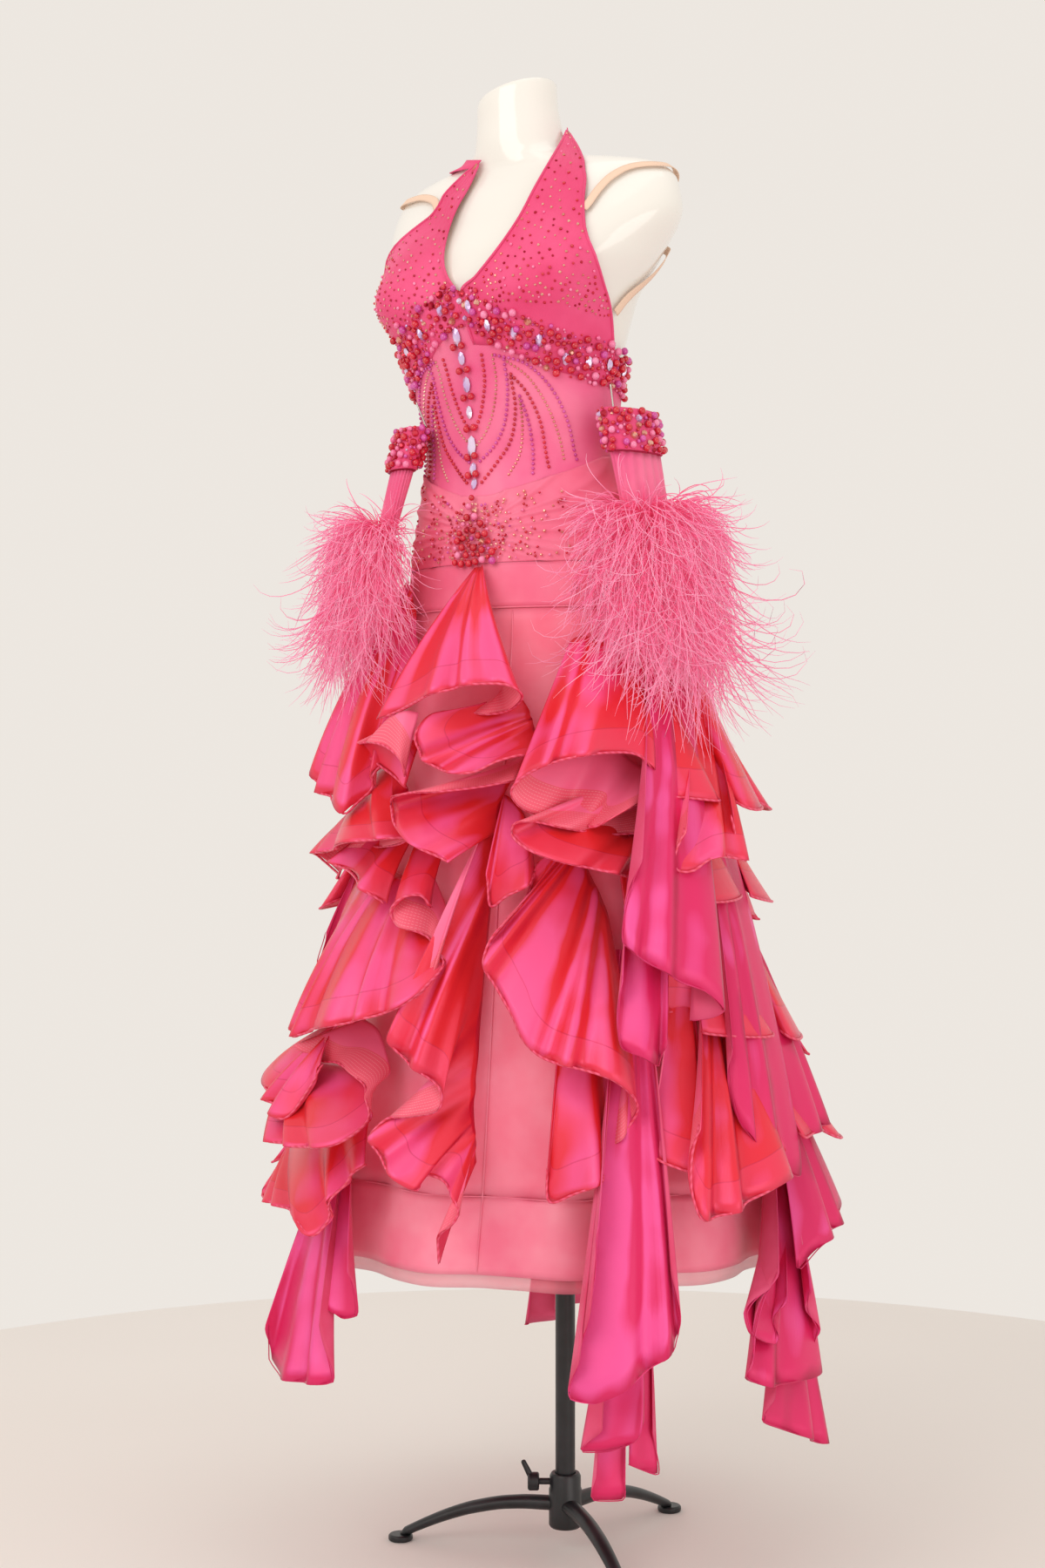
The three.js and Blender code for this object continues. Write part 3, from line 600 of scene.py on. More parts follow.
@dataclass(frozen=True)
class Plume:
    """Ostrich barbs, dyed pink: deeper at the root, partly painted shade inside the puff, nearly
    white-pink at the tip.
    """

    name: str
    root: str = "#FF5E98"
    middle: str = "#FF94C0"
    tip: str = "#FFCCE4"

    def build(self) -> bpy.types.Material:
        """Make the material from the length share kept in the colour attribute."""
        material, add = new_material(self.name)
        share = add("Attribute", attribute_name="share").outputs["Fac"]
        # The deeper root tone is partly the barbs' colour, partly painted shade inside the puff.
        colour = add("ValToRGB", (share,), ((0.0, self.root), (0.5, self.middle),
                                            (1.0, self.tip)))
        # The faint glow stands for light scattered many times between the barbs.
        shader = add("BsdfPrincipled", {
            "Base Color": colour, "Emission Color": colour, "Roughness": 0.6,
            "Specular IOR Level": 0.3, "Emission Strength": 0.15})
        # Barbs are so thin that light passes through them.
        through = add("BsdfTranslucent", {"Color": colour})
        both = add("MixShader", (0.35, shader, through))
        add("OutputMaterial", {"Surface": both})
        return material


class Finish(Enum):
    """Every finish of the object, with what it gives the eye."""

    # Silk-like duchesse: painted highlight and shade turn it red or pink as it faces about.
    SATIN = Satin("shot_satin_duchesse")
    # Softer crepe-backed satin: the same painted highlight and shade, cooler and more crushed.
    SATIN_FLOAT = Satin("float_satin_crepe", deep="#B80E44", warm="#DC2460", light="#EE5298",
                        gloss=0.34, band=-1.0, crease=0.4)
    # Rows of pale stitches hold a stiff band inside each hem.
    FACING = Facing("stitched_stiff_facing")
    FLOAT_BACK = Weave("float_satin_back", "#D83564", "#E65682", 0.0014)
    # A twisted cord of satin that edges every flounce.
    EDGE = RolledEdge("rolled_satin_edge")
    # Knitted jerseys: dull, slightly mottled, softly bright at their edges.
    STRETCH = Weave("matt_stretch_jersey", "#E23A72", "#EF5388", 0.0016)
    CORAL = Weave("coral_stretch_jersey", "#F0688C", "#F682A0", 0.0016)
    # Crisp organza: smoother and paler than jersey.
    ORGANZA = Weave("satin_organza", "#F76C8C", "#FC8EA8", 0.001, gloss=0.4, sheen=0.3)
    ORGANZA_BAND = Weave("stiffened_organza", "#F77092", "#FD96AE", 0.0014, gloss=0.36,
                         sheen=0.3)
    # Open net: half of what is behind it shows.
    NET = Weave("stiff_net", "#F58098", "#FAA8B6", 0.0022, clear=0.5)
    SHEER = Weave("sheer_stretch_mesh", "#E9568A", "#F2789E", 0.0018, gloss=0.5)
    LINING = Weave("nude_lining", "#CF9468", "#E0AC84", 0.0014)
    ELASTIC = Weave("nude_elastic", "#DDA57C", "#EDC09C", 0.0012, gloss=0.55)
    # Lacquered shell: clear reflections over a warm white.
    FORM = Solid("gloss_lacquer_shell", "#EBE8E1", "#F0EDE7", gloss=0.14, coat=0.5, grain=5.0)
    # Powder paint: black with a fine pebbled gloss.
    STAND = Solid("powder_painted_steel", "#161618", "#222226", gloss=0.38, relief=0.15)
    STEEL = Solid("nickel_plated_wire", "#B9B4AC", "#D0CCC6", gloss=0.25, metal=1.0)
    # Pearls and lacquered beads: a small sharp glint on a deep or milky colour.
    PEARL_RED = Solid("crimson_glass_pearl", "#C00F28", "#D81E38", gloss=0.18, coat=0.6)
    PEARL_PINK = Solid("pink_glass_pearl", "#EE6C9E", "#F48EB6", gloss=0.2, coat=0.5)
    BEAD_MAGENTA = Solid("magenta_lacquer_bead", "#C63A92", "#DC58AC", gloss=0.15, coat=0.6)
    # Foiled and cut stones: facets that flash like metal.
    RHINESTONE = Solid("foiled_rhinestone", "#D88C7A", "#F0C0AC", gloss=0.08, metal=0.6)
    RUBY = Solid("foiled_ruby_stone", "#A81230", "#D83A50", gloss=0.08, metal=0.5)
    CRYSTAL = Solid("lilac_cut_crystal", "#C8A4E0", "#EAD8F4", gloss=0.04, metal=0.35,
                    coat=0.8)
    # Ostrich: a soft haze lit through by the lamps, with a faint painted glow.
    PLUME = Plume("ostrich_barbs")

    def material(self) -> bpy.types.Material:
        """The built material, made on first use."""
        found = bpy.data.materials.get(self.value.name)
        return found or self.value.build()


# ------------------------------------------------------------------ mesh makers
def to_metres(points: Array) -> Array:
    """Millimetres about the pole to metres in the frame."""
    return (points + OFFSET) * MM


def finished(name: str, mesh: bpy.types.Mesh, finishes: Sequence[Finish], body: str,
             nodes: Sequence[str] = (), slot: str | None = None) -> bpy.types.Object:
    """Link a mesh as a piece that rides on its body.

    Args:
        name: the piece's name.
        mesh: its mesh, already in place.
        finishes: one for each material slot.
        body: the CAD body that it moves with.
        nodes: CAD nodes that it stands for.
        slot: the record's material slot; not used.

    Returns:
        The new object.
    """
    piece = bpy.data.objects.new(name, mesh)
    bpy.context.scene.collection.objects.link(piece)
    for finish in finishes:
        mesh.materials.append(finish.material())
    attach(piece, body)
    if nodes:
        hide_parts(*nodes)
    LOG.info("%s: %d faces", name, len(mesh.polygons))
    return piece


def grid_mesh(parts: Sequence[tuple[int, int, Place, Place | None]], closed: bool = False,
              outward: bool = True) -> bpy.types.Mesh:
    """One mesh of one or more sheets, each a grid moved into place.

    Args:
        parts: for each sheet, squares across and down, its points for shares s and t, and
            its pattern coordinates in metres, or None for plain ones.
        closed: the first and last columns meet.
        outward: faces are turned away from the pole's axis.

    Returns:
        The mesh, smooth shaded, with a UV map named cloth.
    """
    bm = bmesh.new()
    layer = bm.loops.layers.uv.new("cloth")
    for across, down, place, pattern in parts:
        made = bmesh.ops.create_grid(bm, x_segments=across, y_segments=down, size=0.5)["verts"]
        s = np.array([v.co.x + 0.5 for v in made])
        t = np.array([0.5 - v.co.y for v in made])
        points = to_metres(place(s, t))
        chart = pattern(s, t) if pattern else np.stack([s * 0.5, t * 0.3], -1)
        at = {}
        for vert, point, uv in zip(made, points, chart):
            vert.co = point
            at[vert] = uv
        faces = {f for v in made for f in v.link_faces}
        for face in faces:
            face.smooth = True
            for loop in face.loops:
                loop[layer].uv = at[loop.vert]
        if outward:
            total = 0.0
            for face in faces:
                face.normal_update()
                middle = face.calc_center_median()
                away = (middle.x - OFFSET[0] * MM, middle.y - OFFSET[1] * MM)
                total += (face.normal.x * away[0] + face.normal.y * away[1]) * face.calc_area()
            if total < 0:
                bmesh.ops.reverse_faces(bm, faces=list(faces))
    if closed:
        bmesh.ops.remove_doubles(bm, verts=bm.verts, dist=1e-6)
    mesh = bpy.data.meshes.new("sheet")
    bm.to_mesh(mesh)
    bm.free()
    return mesh


def thicken(piece: bpy.types.Object, thickness: float, back: bool = False) -> None:
    """Give a sheet its thickness, inwards.

    Args:
        piece: the sheet.
        thickness: in millimetres.
        back: the inner side takes the second material.
    """
    solid = piece.modifiers.new("thickness", "SOLIDIFY")
    solid.thickness = thickness * MM
    solid.offset = -1.0
    solid.use_quality_normals = True
    if back:
        solid.material_offset = 1


def tube_mesh(path: Array, radius: float, sides: int = 6) -> bpy.types.Mesh:
    """A closed round cord along a path, with its length and turn as pattern coordinates.

    Args:
        path: points in millimetres.
        radius: in millimetres.
        sides: sides of the cord.

    Returns:
        The mesh.
    """
    run = np.gradient(path, axis=0)
    run /= np.linalg.norm(run, axis=1)[:, None]
    side = np.cross(run, [0.0, 0.0, 1.0])
    side /= np.maximum(np.linalg.norm(side, axis=1), 1e-6)[:, None]
    up = np.cross(side, run)
    length = np.r_[0, np.cumsum(np.linalg.norm(np.diff(path, axis=0), axis=1))]
    count = len(path) - 1

    def place(s: Array, t: Array) -> Array:
        """Points round the path."""
        i = np.rint(t * count).astype(int)
        angle = 2 * np.pi * s
        end = np.where((i == 0) | (i == count), 0.3, 1.0)
        return (path[i] + side[i] * (radius * end * np.cos(angle))[:, None]
                + up[i] * (radius * end * np.sin(angle))[:, None])

    def pattern(s: Array, t: Array) -> Array:
        """Length along and turn round."""
        return np.stack([length[np.rint(t * count).astype(int)] * MM, s], -1)

    mesh = grid_mesh([(sides, count, place, pattern)], closed=True, outward=False)
    bm = bmesh.new()
    bm.from_mesh(mesh)
    bmesh.ops.holes_fill(bm, edges=[e for e in bm.edges if e.is_boundary], sides=sides)
    bmesh.ops.recalc_face_normals(bm, faces=bm.faces)
    bm.to_mesh(mesh)
    bm.free()
    return mesh


def beads_mesh(name: str, groups: Sequence[tuple[Array, Array, Array | None, int]],
               sides: int = 7) -> bpy.types.Mesh:
    """One mesh of many small beads, joined from arrays.

    Args:
        name: the mesh's name.
        groups: for each group, centres and sizes in millimetres, outward directions for flat
            stones or None for round beads, and the material number.
        sides: sides of a round bead.

    Returns:
        The mesh.
    """
    points, faces, marks, smooths = [], [], [], []
    total = 0
    for centres, sizes, away, mark in groups:
        if not len(centres):
            continue
        bm = bmesh.new()
        if away is None:
            bmesh.ops.create_uvsphere(bm, u_segments=sides, v_segments=5, radius=1.0)
        else:
            bmesh.ops.create_cone(bm, cap_ends=True, segments=8, radius1=1.0, radius2=0.45,
                                  depth=0.8)
        bmesh.ops.triangulate(bm, faces=bm.faces)
        bm.verts.index_update()
        shape = np.array([v.co for v in bm.verts])
        corners = np.array([[v.index for v in f.verts] for f in bm.faces])
        bm.free()
        scaled = shape[None] * np.asarray(sizes, float).reshape(len(centres), -1)[:, None, :]
        if away is not None:
            up = np.broadcast_to([0.0, 0.0, 1.0], away.shape)
            right = np.cross(up, away)
            right /= np.maximum(np.linalg.norm(right, axis=1), 1e-6)[:, None]
            top = np.cross(away, right)
            scaled = (scaled[:, :, :1] * right[:, None] + scaled[:, :, 1:2] * top[:, None]
                      + scaled[:, :, 2:3] * away[:, None])
        points.append((scaled + np.asarray(centres)[:, None]).reshape(-1, 3))
        step = np.arange(len(centres))[:, None, None] * len(shape)
        faces.append((corners[None] + step).reshape(-1, 3) + total)
        marks.append(np.full(len(centres) * len(corners), mark))
        smooths.append(np.full(len(centres) * len(corners), away is None))
        total += len(centres) * len(shape)
    mesh = bpy.data.meshes.new(name)
    corner = np.concatenate(faces)
    mesh.vertices.add(total)
    mesh.vertices.foreach_set("co", to_metres(np.concatenate(points)).ravel())
    mesh.loops.add(corner.size)
    mesh.loops.foreach_set("vertex_index", corner.ravel())
    mesh.polygons.add(len(corner))
    mesh.polygons.foreach_set("loop_start", np.arange(0, corner.size, 3))
    mesh.update(calc_edges=True)
    mesh.polygons.foreach_set("material_index", np.concatenate(marks).astype(np.int32))
    mesh.polygons.foreach_set("use_smooth", np.concatenate(smooths))
    mesh.update()
    return mesh


def outward_of(surface: Callable[[Array, Array, Array], Array], turn: Array,
               z: Array) -> Array:
    """Unit outward directions of a surface.

    Args:
        surface: gives points for turns, heights and clear space.
        turn: degrees from the front towards the wearer's left.
        z: heights.

    Returns:
        One direction for each turn and height.
    """
    here = surface(turn, z, 0.0)
    east = surface(turn + 0.5, z, 0.0) - here
    north = surface(turn, z + 2.0, 0.0) - here
    normal = np.cross(east, north)
    return normal / np.linalg.norm(normal, axis=1)[:, None]


# ------------------------------------------------------------------ flounces
class Part(NamedTuple):
    """One strip of cloth: its grid, its hem and its drop."""

    across: int
    down: int
    place: Place
    pattern: Place
    hem: Array
    run: float
    drop: float


@dataclass(frozen=True)
class Strip:
    """One cascade: a table of hem points and the roots they hang from.

    Each row is hem across, hem down and clearance, then root across, down and clearance.
    Across and down are places in the 1200 by 1800 frame; clearances are millimetres.
    """

    rows: tuple[tuple[float, float, float, float, float, float], ...]
    belly: float = 0.1
    ripple: float = 5.0
    pitch: float = 70.0
    corners: float = 0.0

    def curves(self) -> tuple[Array, Array, Array]:
        """Read the strip's table.

        Returns:
            Knots, hem points and root points in millimetres.
        """
        hem = np.array([VIEW.seen(*row[:3]) for row in self.rows])
        root = np.array([VIEW.seen(*row[3:]) for row in self.rows])
        step = np.maximum(np.linalg.norm(np.diff(hem, axis=0), axis=1), 4.0) ** 0.6
        return np.r_[0, np.cumsum(step)], hem, root

    def part(self, step: float = 5.0, down: int = 18) -> Part:
        """Work out the strip.

        Args:
            step: size of a square along the hem, in millimetres.
            down: squares from root to hem.

        Returns:
            The strip's part.
        """
        knots, hem, root = self.curves()
        fine = np.linspace(0, knots[-1], 60 * len(knots))
        straight = np.stack([np.interp(fine, knots, hem[:, k]) for k in range(3)], -1)
        line = hermite(knots, hem, fine)
        line += (straight - line) * self.corners
        run = np.r_[0, np.cumsum(np.linalg.norm(np.diff(line, axis=0), axis=1))]
        across = max(16, int(run[-1] / step))
        even = np.interp(np.linspace(0, run[-1], across + 1), run, fine)
        low = np.stack([np.interp(even, fine, line[:, k]) for k in range(3)], -1)
        high = hermite(knots, root, even)
        axis = np.stack(GOWN.at((low + high)[:, 2] / 2)[:2] + [(low + high)[:, 2] / 2], -1)
        middle = (low + high) / 2
        away = middle - axis
        away /= np.linalg.norm(away, axis=1)[:, None]
        size = np.linalg.norm(low - high, axis=1)
        # A sheet's drop has 15 percent more, for its curve and for what is sewn in.
        drop = float(size.mean()) * 1.15
        middle = middle + away * (size * self.belly)[:, None]
        # The cloth between the roots and the hem falls in shallow folds.
        turns = 2 * np.pi * run[-1] / self.pitch * np.linspace(0, 1, across + 1)
        fold = self.ripple * np.sin(turns + 1.5 * np.sin(turns * 0.43 + 1)) * np.minimum(
            1, size / 90)

        def place(s: Array, t: Array) -> Array:
            """Points of the cascade."""
            i = np.rint(s * across).astype(int)
            u = t[:, None]
            return ((1 - u) ** 2 * high[i] + 2 * u * (1 - u) * middle[i] + u ** 2 * low[i]
                    + away[i] * (fold[i] * (0.25 + 0.75 * t))[:, None])

        def pattern(s: Array, t: Array) -> Array:
            """Length along the hem and distance up from it, in metres."""
            i = np.rint(s * across).astype(int)
            return np.stack([s * run[-1] * MM, (1 - t) * size[i] * 1.03 * MM], -1)

        low = low + away * fold[:, None]
        return Part(across, down, place, pattern, low, run[-1], drop)


@dataclass(frozen=True)
class Tail(Strip):
    """A strip of a float: finer folds, and corners at its hem."""

    ripple: float = 3.4
    pitch: float = 72.0
    corners: float = 0.5


@dataclass(frozen=True)
class Wave:
    """A plain gathered flounce or float, from one row of sizes."""

    top: tuple[float, float, float, float]
    hem: tuple[float, float, float, float]
    out_top: float
    out_hem: float
    depth: float
    folds: float
    curl: float
    side: int

    def part(self, down: int = 18) -> Part:
        """Work out the wave.

        Args:
            down: squares from root to hem.

        Returns:
            The wave's part.
        """
        ta, za, tb, zb = self.top
        ha, ya, hb, yb = self.hem
        middle = (ya + yb) / 2
        sizes = GOWN.at(np.array([middle]))
        around = math.radians(abs(hb - ha)) * float((sizes[2] + sizes[3])[0] / 2 + self.out_hem)
        pitch = around / self.folds
        across = int(max(30, self.folds * 26))
        tall = abs((za + zb) / 2 - middle) + 30

        def place(s: Array, t: Array) -> Array:
            """Points of the flounce."""
            grow = t ** 1.8
            u = s + 0.03 * np.sin(2 * np.pi * s + self.folds)
            phase = 2 * np.pi * self.folds * s
            uneven = 0.86 + 0.14 * np.cos(5.3 * s * self.folds + self.folds)
            wave = self.side * np.sin(phase) * uneven
            wave = wave + 0.2 * np.sin(2.6 * phase + self.folds + za) * t
            z = ((za + (zb - za) * s) * (1 - t) + (ya + (yb - ya) * u) * t
                 - 0.5 * self.depth * wave * grow)
            sizes_at = GOWN.at(z)
            radius = (sizes_at[2] + sizes_at[3]) / 2 + self.out_hem
            shift = -self.curl * pitch * grow * np.sin(2 * phase) / np.radians(radius)
            turn = (ta + (tb - ta) * s) * (1 - t) + (ha + (hb - ha) * s) * t + shift
            out = self.out_top + (self.out_hem - self.out_top) * t ** 1.15
            return GOWN.point(turn, z, out + self.depth * wave * grow)

        share = np.linspace(0, 1, across + 1)
        low = place(share, np.ones(across + 1))
        run = np.r_[0, np.cumsum(np.linalg.norm(np.diff(low, axis=0), axis=1))]

        def pattern(s: Array, t: Array) -> Array:
            """Length along the hem and distance up from it, in metres."""
            return np.stack([np.interp(s, share, run) * MM, (1 - t) * tall * MM], -1)

        return Part(across, down, place, pattern, low, run[-1], tall)


@dataclass
class Drapes:
    """All flounces and floats, each with its rolled hem edge."""

    flounces: dict[str, list] = field(default_factory=dict)
    floats: dict[str, list] = field(default_factory=dict)
    cloth: float = 0.9
    edge: float = 1.5

    def build(self) -> None:
        """Make every flounce and float."""
        for name, strips in self.flounces.items():
            self.drape(name, strips, (Finish.SATIN, Finish.FACING), "shot_satin", True)
        for name, strips in self.floats.items():
            self.drape(name, strips, (Finish.SATIN_FLOAT, Finish.FLOAT_BACK), "float_satin",
                       False)

    def drape(self, name: str, strips: Sequence, finishes: Sequence[Finish], slot: str,
              rolled: bool) -> None:
        """Make one flounce or float.

        Args:
            name: the CAD node's name.
            strips: its cascades and waves.
            finishes: right side and back.
            slot: the record's material slot.
            rolled: the hem has a thick rolled edge.
        """
        parts = [strip.part() for strip in strips]
        mesh = grid_mesh([p[:4] for p in parts])
        piece = finished(f"{name}_cloth", mesh, finishes, "dressed_form", [name], slot)
        thicken(piece, self.cloth, back=True)
        for number, part in enumerate(parts):
            radius = self.edge if rolled else self.edge * 0.45
            edge = finished(f"{name}_edge{number}", tube_mesh(part.hem, radius),
                            [Finish.EDGE if rolled else Finish.SATIN_FLOAT], "dressed_form",
                            slot=slot)


FLOUNCES: dict[str, list] = {
    "flounce_front": [Strip((
        (440, 825, 66, 546, 652, 8), (470, 808, 82, 547, 651, 9), (510, 793, 94, 549, 651, 10),
        (550, 785, 98, 552, 651, 10), (585, 787, 88, 555, 652, 10),
        (601, 799, 66, 562, 690, 12), (590, 813, 46, 575, 740, 12),
        (560, 820, 34, 588, 775, 12), (525, 816, 34, 596, 795, 12),
        (495, 822, 46, 602, 805, 12), (477, 845, 64, 606, 812, 12),
        (484, 868, 80, 609, 820, 12), (510, 885, 90, 612, 828, 14),
        (540, 887, 90, 614, 836, 16), (570, 874, 84, 616, 846, 18),
        (600, 867, 66, 618, 856, 18), (614, 872, 44, 620, 866, 16))),
        Strip((
            (470, 905, 34, 484, 850, 24), (453, 892, 44, 476, 850, 34),
            (430, 876, 52, 466, 846, 46), (412, 858, 60, 456, 838, 56),
            (420, 852, 70, 446, 828, 66), (442, 857, 76, 452, 822, 70),
            (460, 871, 70, 466, 816, 66), (470, 892, 56, 482, 818, 54)), 0.04)],
    "flounce_front_low": [Strip((
        (592, 896, 52, 606, 862, 14), (552, 903, 70, 604, 866, 14),
        (500, 909, 84, 600, 872, 14), (465, 911, 86, 596, 880, 14),
        (447, 922, 76, 590, 890, 14), (450, 940, 82, 584, 902, 14),
        (468, 962, 88, 578, 916, 14), (490, 978, 90, 574, 934, 14),
        (516, 990, 76, 570, 956, 14)))],
    "flounce_hip_right": [Strip((
        (382, 820, 40, 470, 668, 10), (360, 832, 62, 468, 666, 10),
        (338, 845, 82, 468, 666, 12), (346, 868, 86, 469, 668, 12),
        (365, 899, 84, 471, 672, 12), (385, 921, 82, 473, 676, 12),
        (402, 934, 74, 475, 684, 12), (418, 912, 58, 477, 700, 12),
        (436, 884, 46, 479, 730, 12), (446, 840, 36, 480, 760, 12)))],
    "flounce_right_low": [Strip((
        (394, 1010, 44, 420, 960, 20), (374, 996, 58, 418, 945, 22),
        (362, 985, 72, 416, 930, 24), (376, 976, 80, 418, 915, 26),
        (400, 967, 88, 424, 900, 26), (430, 964, 88, 432, 888, 26),
        (463, 962, 76, 444, 880, 24), (464, 968, 58, 456, 885, 20),
        (440, 972, 50, 466, 900, 18), (402, 975, 54, 470, 915, 16),
        (385, 986, 64, 472, 925, 16), (400, 1003, 70, 474, 935, 16),
        (420, 1020, 72, 476, 945, 16), (438, 1038, 62, 478, 955, 16)))],
    "flounce_right_mid": [Strip((
        (500, 1042, 40, 508, 985, 14), (482, 1028, 62, 502, 975, 14),
        (458, 1031, 78, 492, 965, 14), (446, 1046, 76, 484, 960, 16),
        (456, 1060, 66, 480, 965, 18), (480, 1070, 58, 500, 1010, 16),
        (500, 1086, 56, 512, 1040, 14), (507, 1106, 66, 515, 1050, 14),
        (492, 1130, 82, 505, 1050, 14), (466, 1153, 94, 490, 1035, 14),
        (430, 1166, 98, 475, 1018, 14), (390, 1176, 98, 462, 1004, 16),
        (357, 1182, 92, 450, 1000, 18), (338, 1188, 80, 440, 1000, 20),
        (350, 1160, 62, 420, 1000, 20), (374, 1125, 48, 402, 1000, 18)))],
    "flounce_cascade": [Strip((
        (506, 1110, 56, 575, 905, 10), (486, 1135, 78, 574, 912, 10),
        (462, 1160, 90, 572, 925, 10), (449, 1190, 92, 570, 955, 10),
        (460, 1213, 88, 568, 990, 10), (485, 1232, 82, 566, 1020, 10),
        (506, 1256, 66, 562, 1060, 10), (504, 1274, 56, 558, 1110, 10),
        (474, 1281, 70, 554, 1160, 10), (442, 1285, 84, 550, 1200, 10),
        (428, 1302, 86, 548, 1230, 10), (434, 1328, 84, 546, 1250, 10),
        (458, 1354, 80, 545, 1268, 12), (480, 1366, 68, 545, 1282, 14),
        (486, 1350, 56, 545, 1292, 16), (508, 1356, 52, 546, 1300, 16),
        (524, 1382, 58, 547, 1308, 16), (522, 1402, 64, 547, 1316, 16),
        (506, 1418, 66, 547, 1324, 18), (502, 1452, 58, 547, 1334, 20)))],
    "flounce_right_curl": [Strip((
        (345, 1200, 70, 420, 1170, 18), (362, 1217, 60, 432, 1180, 18),
        (388, 1221, 50, 440, 1195, 16), (410, 1236, 44, 446, 1215, 14),
        (423, 1262, 50, 446, 1235, 14), (416, 1292, 66, 420, 1225, 20),
        (392, 1312, 84, 385, 1218, 30), (352, 1317, 96, 360, 1212, 44),
        (312, 1310, 96, 340, 1205, 56))),
        Strip((
            (376, 1221, 58, 398, 1160, 24), (352, 1248, 74, 401, 1160, 24),
            (326, 1284, 92, 404, 1160, 24), (311, 1268, 94, 408, 1160, 24),
            (304, 1235, 86, 411, 1160, 24), (312, 1208, 70, 414, 1160, 24)), 0.16)],
    "flounce_right_hem": [Strip((
        (283, 1360, 58, 312, 1312, 40), (300, 1370, 66, 316, 1310, 44),
        (322, 1384, 70, 324, 1308, 46), (345, 1402, 74, 338, 1306, 44),
        (364, 1418, 70, 354, 1304, 40), (380, 1384, 60, 376, 1300, 34),
        (400, 1352, 50, 400, 1290, 26), (425, 1336, 40, 425, 1280, 16)), 0.06)],
    "flounce_hip_left": [Strip((
        (747, 884, 56, 742, 790, 14), (735, 867, 76, 735, 770, 14),
        (700, 864, 92, 715, 750, 14), (660, 869, 98, 690, 735, 14),
        (620, 881, 98, 668, 730, 14), (596, 896, 90, 656, 735, 14),
        (587, 909, 78, 652, 745, 16), (597, 926, 62, 656, 780, 16),
        (625, 937, 50, 680, 830, 14), (655, 939, 42, 700, 850, 14),
        (674, 938, 50, 720, 870, 14), (680, 950, 66, 735, 880, 14),
        (706, 935, 72, 745, 885, 14), (744, 916, 60, 752, 890, 14)))],
    "flounce_left_low": [Strip((
        (742, 955, 40, 745, 900, 14), (700, 958, 52, 735, 905, 14),
        (650, 951, 66, 720, 905, 14), (610, 943, 76, 700, 905, 14),
        (590, 946, 82, 690, 905, 16), (588, 958, 84, 690, 912, 18),
        (603, 973, 88, 700, 920, 18), (640, 988, 90, 715, 930, 16),
        (685, 998, 86, 730, 945, 16), (730, 1008, 70, 745, 960, 14)))],
    "flounce_centre": [Strip((
        (617, 990, 26, 640, 970, 12), (604, 1030, 58, 648, 970, 12),
        (580, 1058, 80, 655, 970, 12), (560, 1085, 88, 660, 972, 12),
        (556, 1108, 90, 664, 975, 12), (572, 1138, 86, 668, 982, 12),
        (588, 1165, 80, 672, 990, 12), (600, 1192, 82, 676, 1000, 12),
        (622, 1214, 90, 682, 1012, 12), (660, 1226, 98, 690, 1028, 12),
        (700, 1238, 98, 698, 1050, 12), (726, 1258, 90, 704, 1078, 12),
        (733, 1276, 76, 708, 1100, 12), (718, 1300, 60, 712, 1140, 12),
        (694, 1322, 54, 712, 1180, 12))),
        Strip((
            (561, 1000, 30, 578, 912, 12), (563, 1041, 50, 586, 916, 12),
            (583, 1028, 60, 596, 926, 12), (606, 1017, 56, 605, 940, 12),
            (614, 1000, 40, 612, 960, 12)), 0.05)],
    "flounce_centre_hem": [Strip((
        (628, 1340, 36, 640, 1200, 14), (632, 1381, 60, 650, 1198, 14),
        (660, 1371, 76, 665, 1196, 14), (690, 1357, 80, 680, 1198, 14),
        (694, 1350, 68, 690, 1205, 14), (697, 1360, 50, 700, 1215, 14),
        (712, 1384, 52, 706, 1225, 14), (724, 1414, 58, 712, 1235, 14)), 0.05)],
    "flounce_left_point": [Strip((
        (745, 1296, 40, 766, 1150, 20), (744, 1312, 60, 772, 1148, 20),
        (757, 1331, 74, 778, 1146, 20), (776, 1340, 80, 784, 1146, 20),
        (796, 1344, 76, 790, 1148, 20), (802, 1290, 58, 797, 1160, 20)), 0.05)],
    "flounce_left_hem": [Strip((
        (799, 1290, 92, 804, 1120, 16), (797, 1380, 98, 807, 1120, 16),
        (803, 1399, 102, 810, 1120, 16), (835, 1394, 102, 813, 1120, 16),
        (868, 1376, 98, 815, 1120, 16), (895, 1356, 92, 818, 1120, 16),
        (908, 1343, 84, 821, 1120, 16), (897, 1320, 72, 824, 1120, 16)), 0.04),
        Wave((92, 690, 124, 690), (92, 540, 121, 520), 6, 60, 26, 1.5, 0.2, 1)],
    "flounce_side_left": [Strip((
        (782, 950, 88, 788, 800, 14), (781, 999, 100, 794, 800, 14),
        (798, 1000, 104, 801, 800, 14), (815, 985, 104, 807, 800, 14),
        (840, 984, 100, 813, 800, 14), (855, 986, 92, 820, 800, 14),
        (836, 935, 82, 826, 800, 14)), 0.05),
        Wave((60, 1124, 122, 1124), (60, 925, 119, 905), 8, 54, 28, 2, 0.2, 1)],
    "flounce_side_low": [Wave((60, 950, 122, 930), (58, 812, 119, 800), 6, 36, 20, 2, 0.2,
                              -1)],
    "flounce_side_mid": [Wave((52, 840, 122, 830), (53, 668, 119, 640), 6, 44, 24, 2, 0.2,
                              -1)],
    "flounce_back_top": [Wave((126, 1124, 292, 1124), (126, 915, 276, 925), 8, 50, 28, 5,
                              0.24, 1)],
    "flounce_back_second": [Wave((126, 948, 288, 960), (126, 770, 292, 790), 6, 42, 24, 5,
                                 0.24, -1)],
    "flounce_back_third": [Wave((126, 800, 286, 820), (126, 615, 287, 630), 6, 48, 28, 5,
                                0.24, 1)],
    "flounce_back_hem": [Wave((126, 645, 284, 655), (126, 455, 285, 470), 6, 56, 30, 5, 0.24,
                              -1)],
}
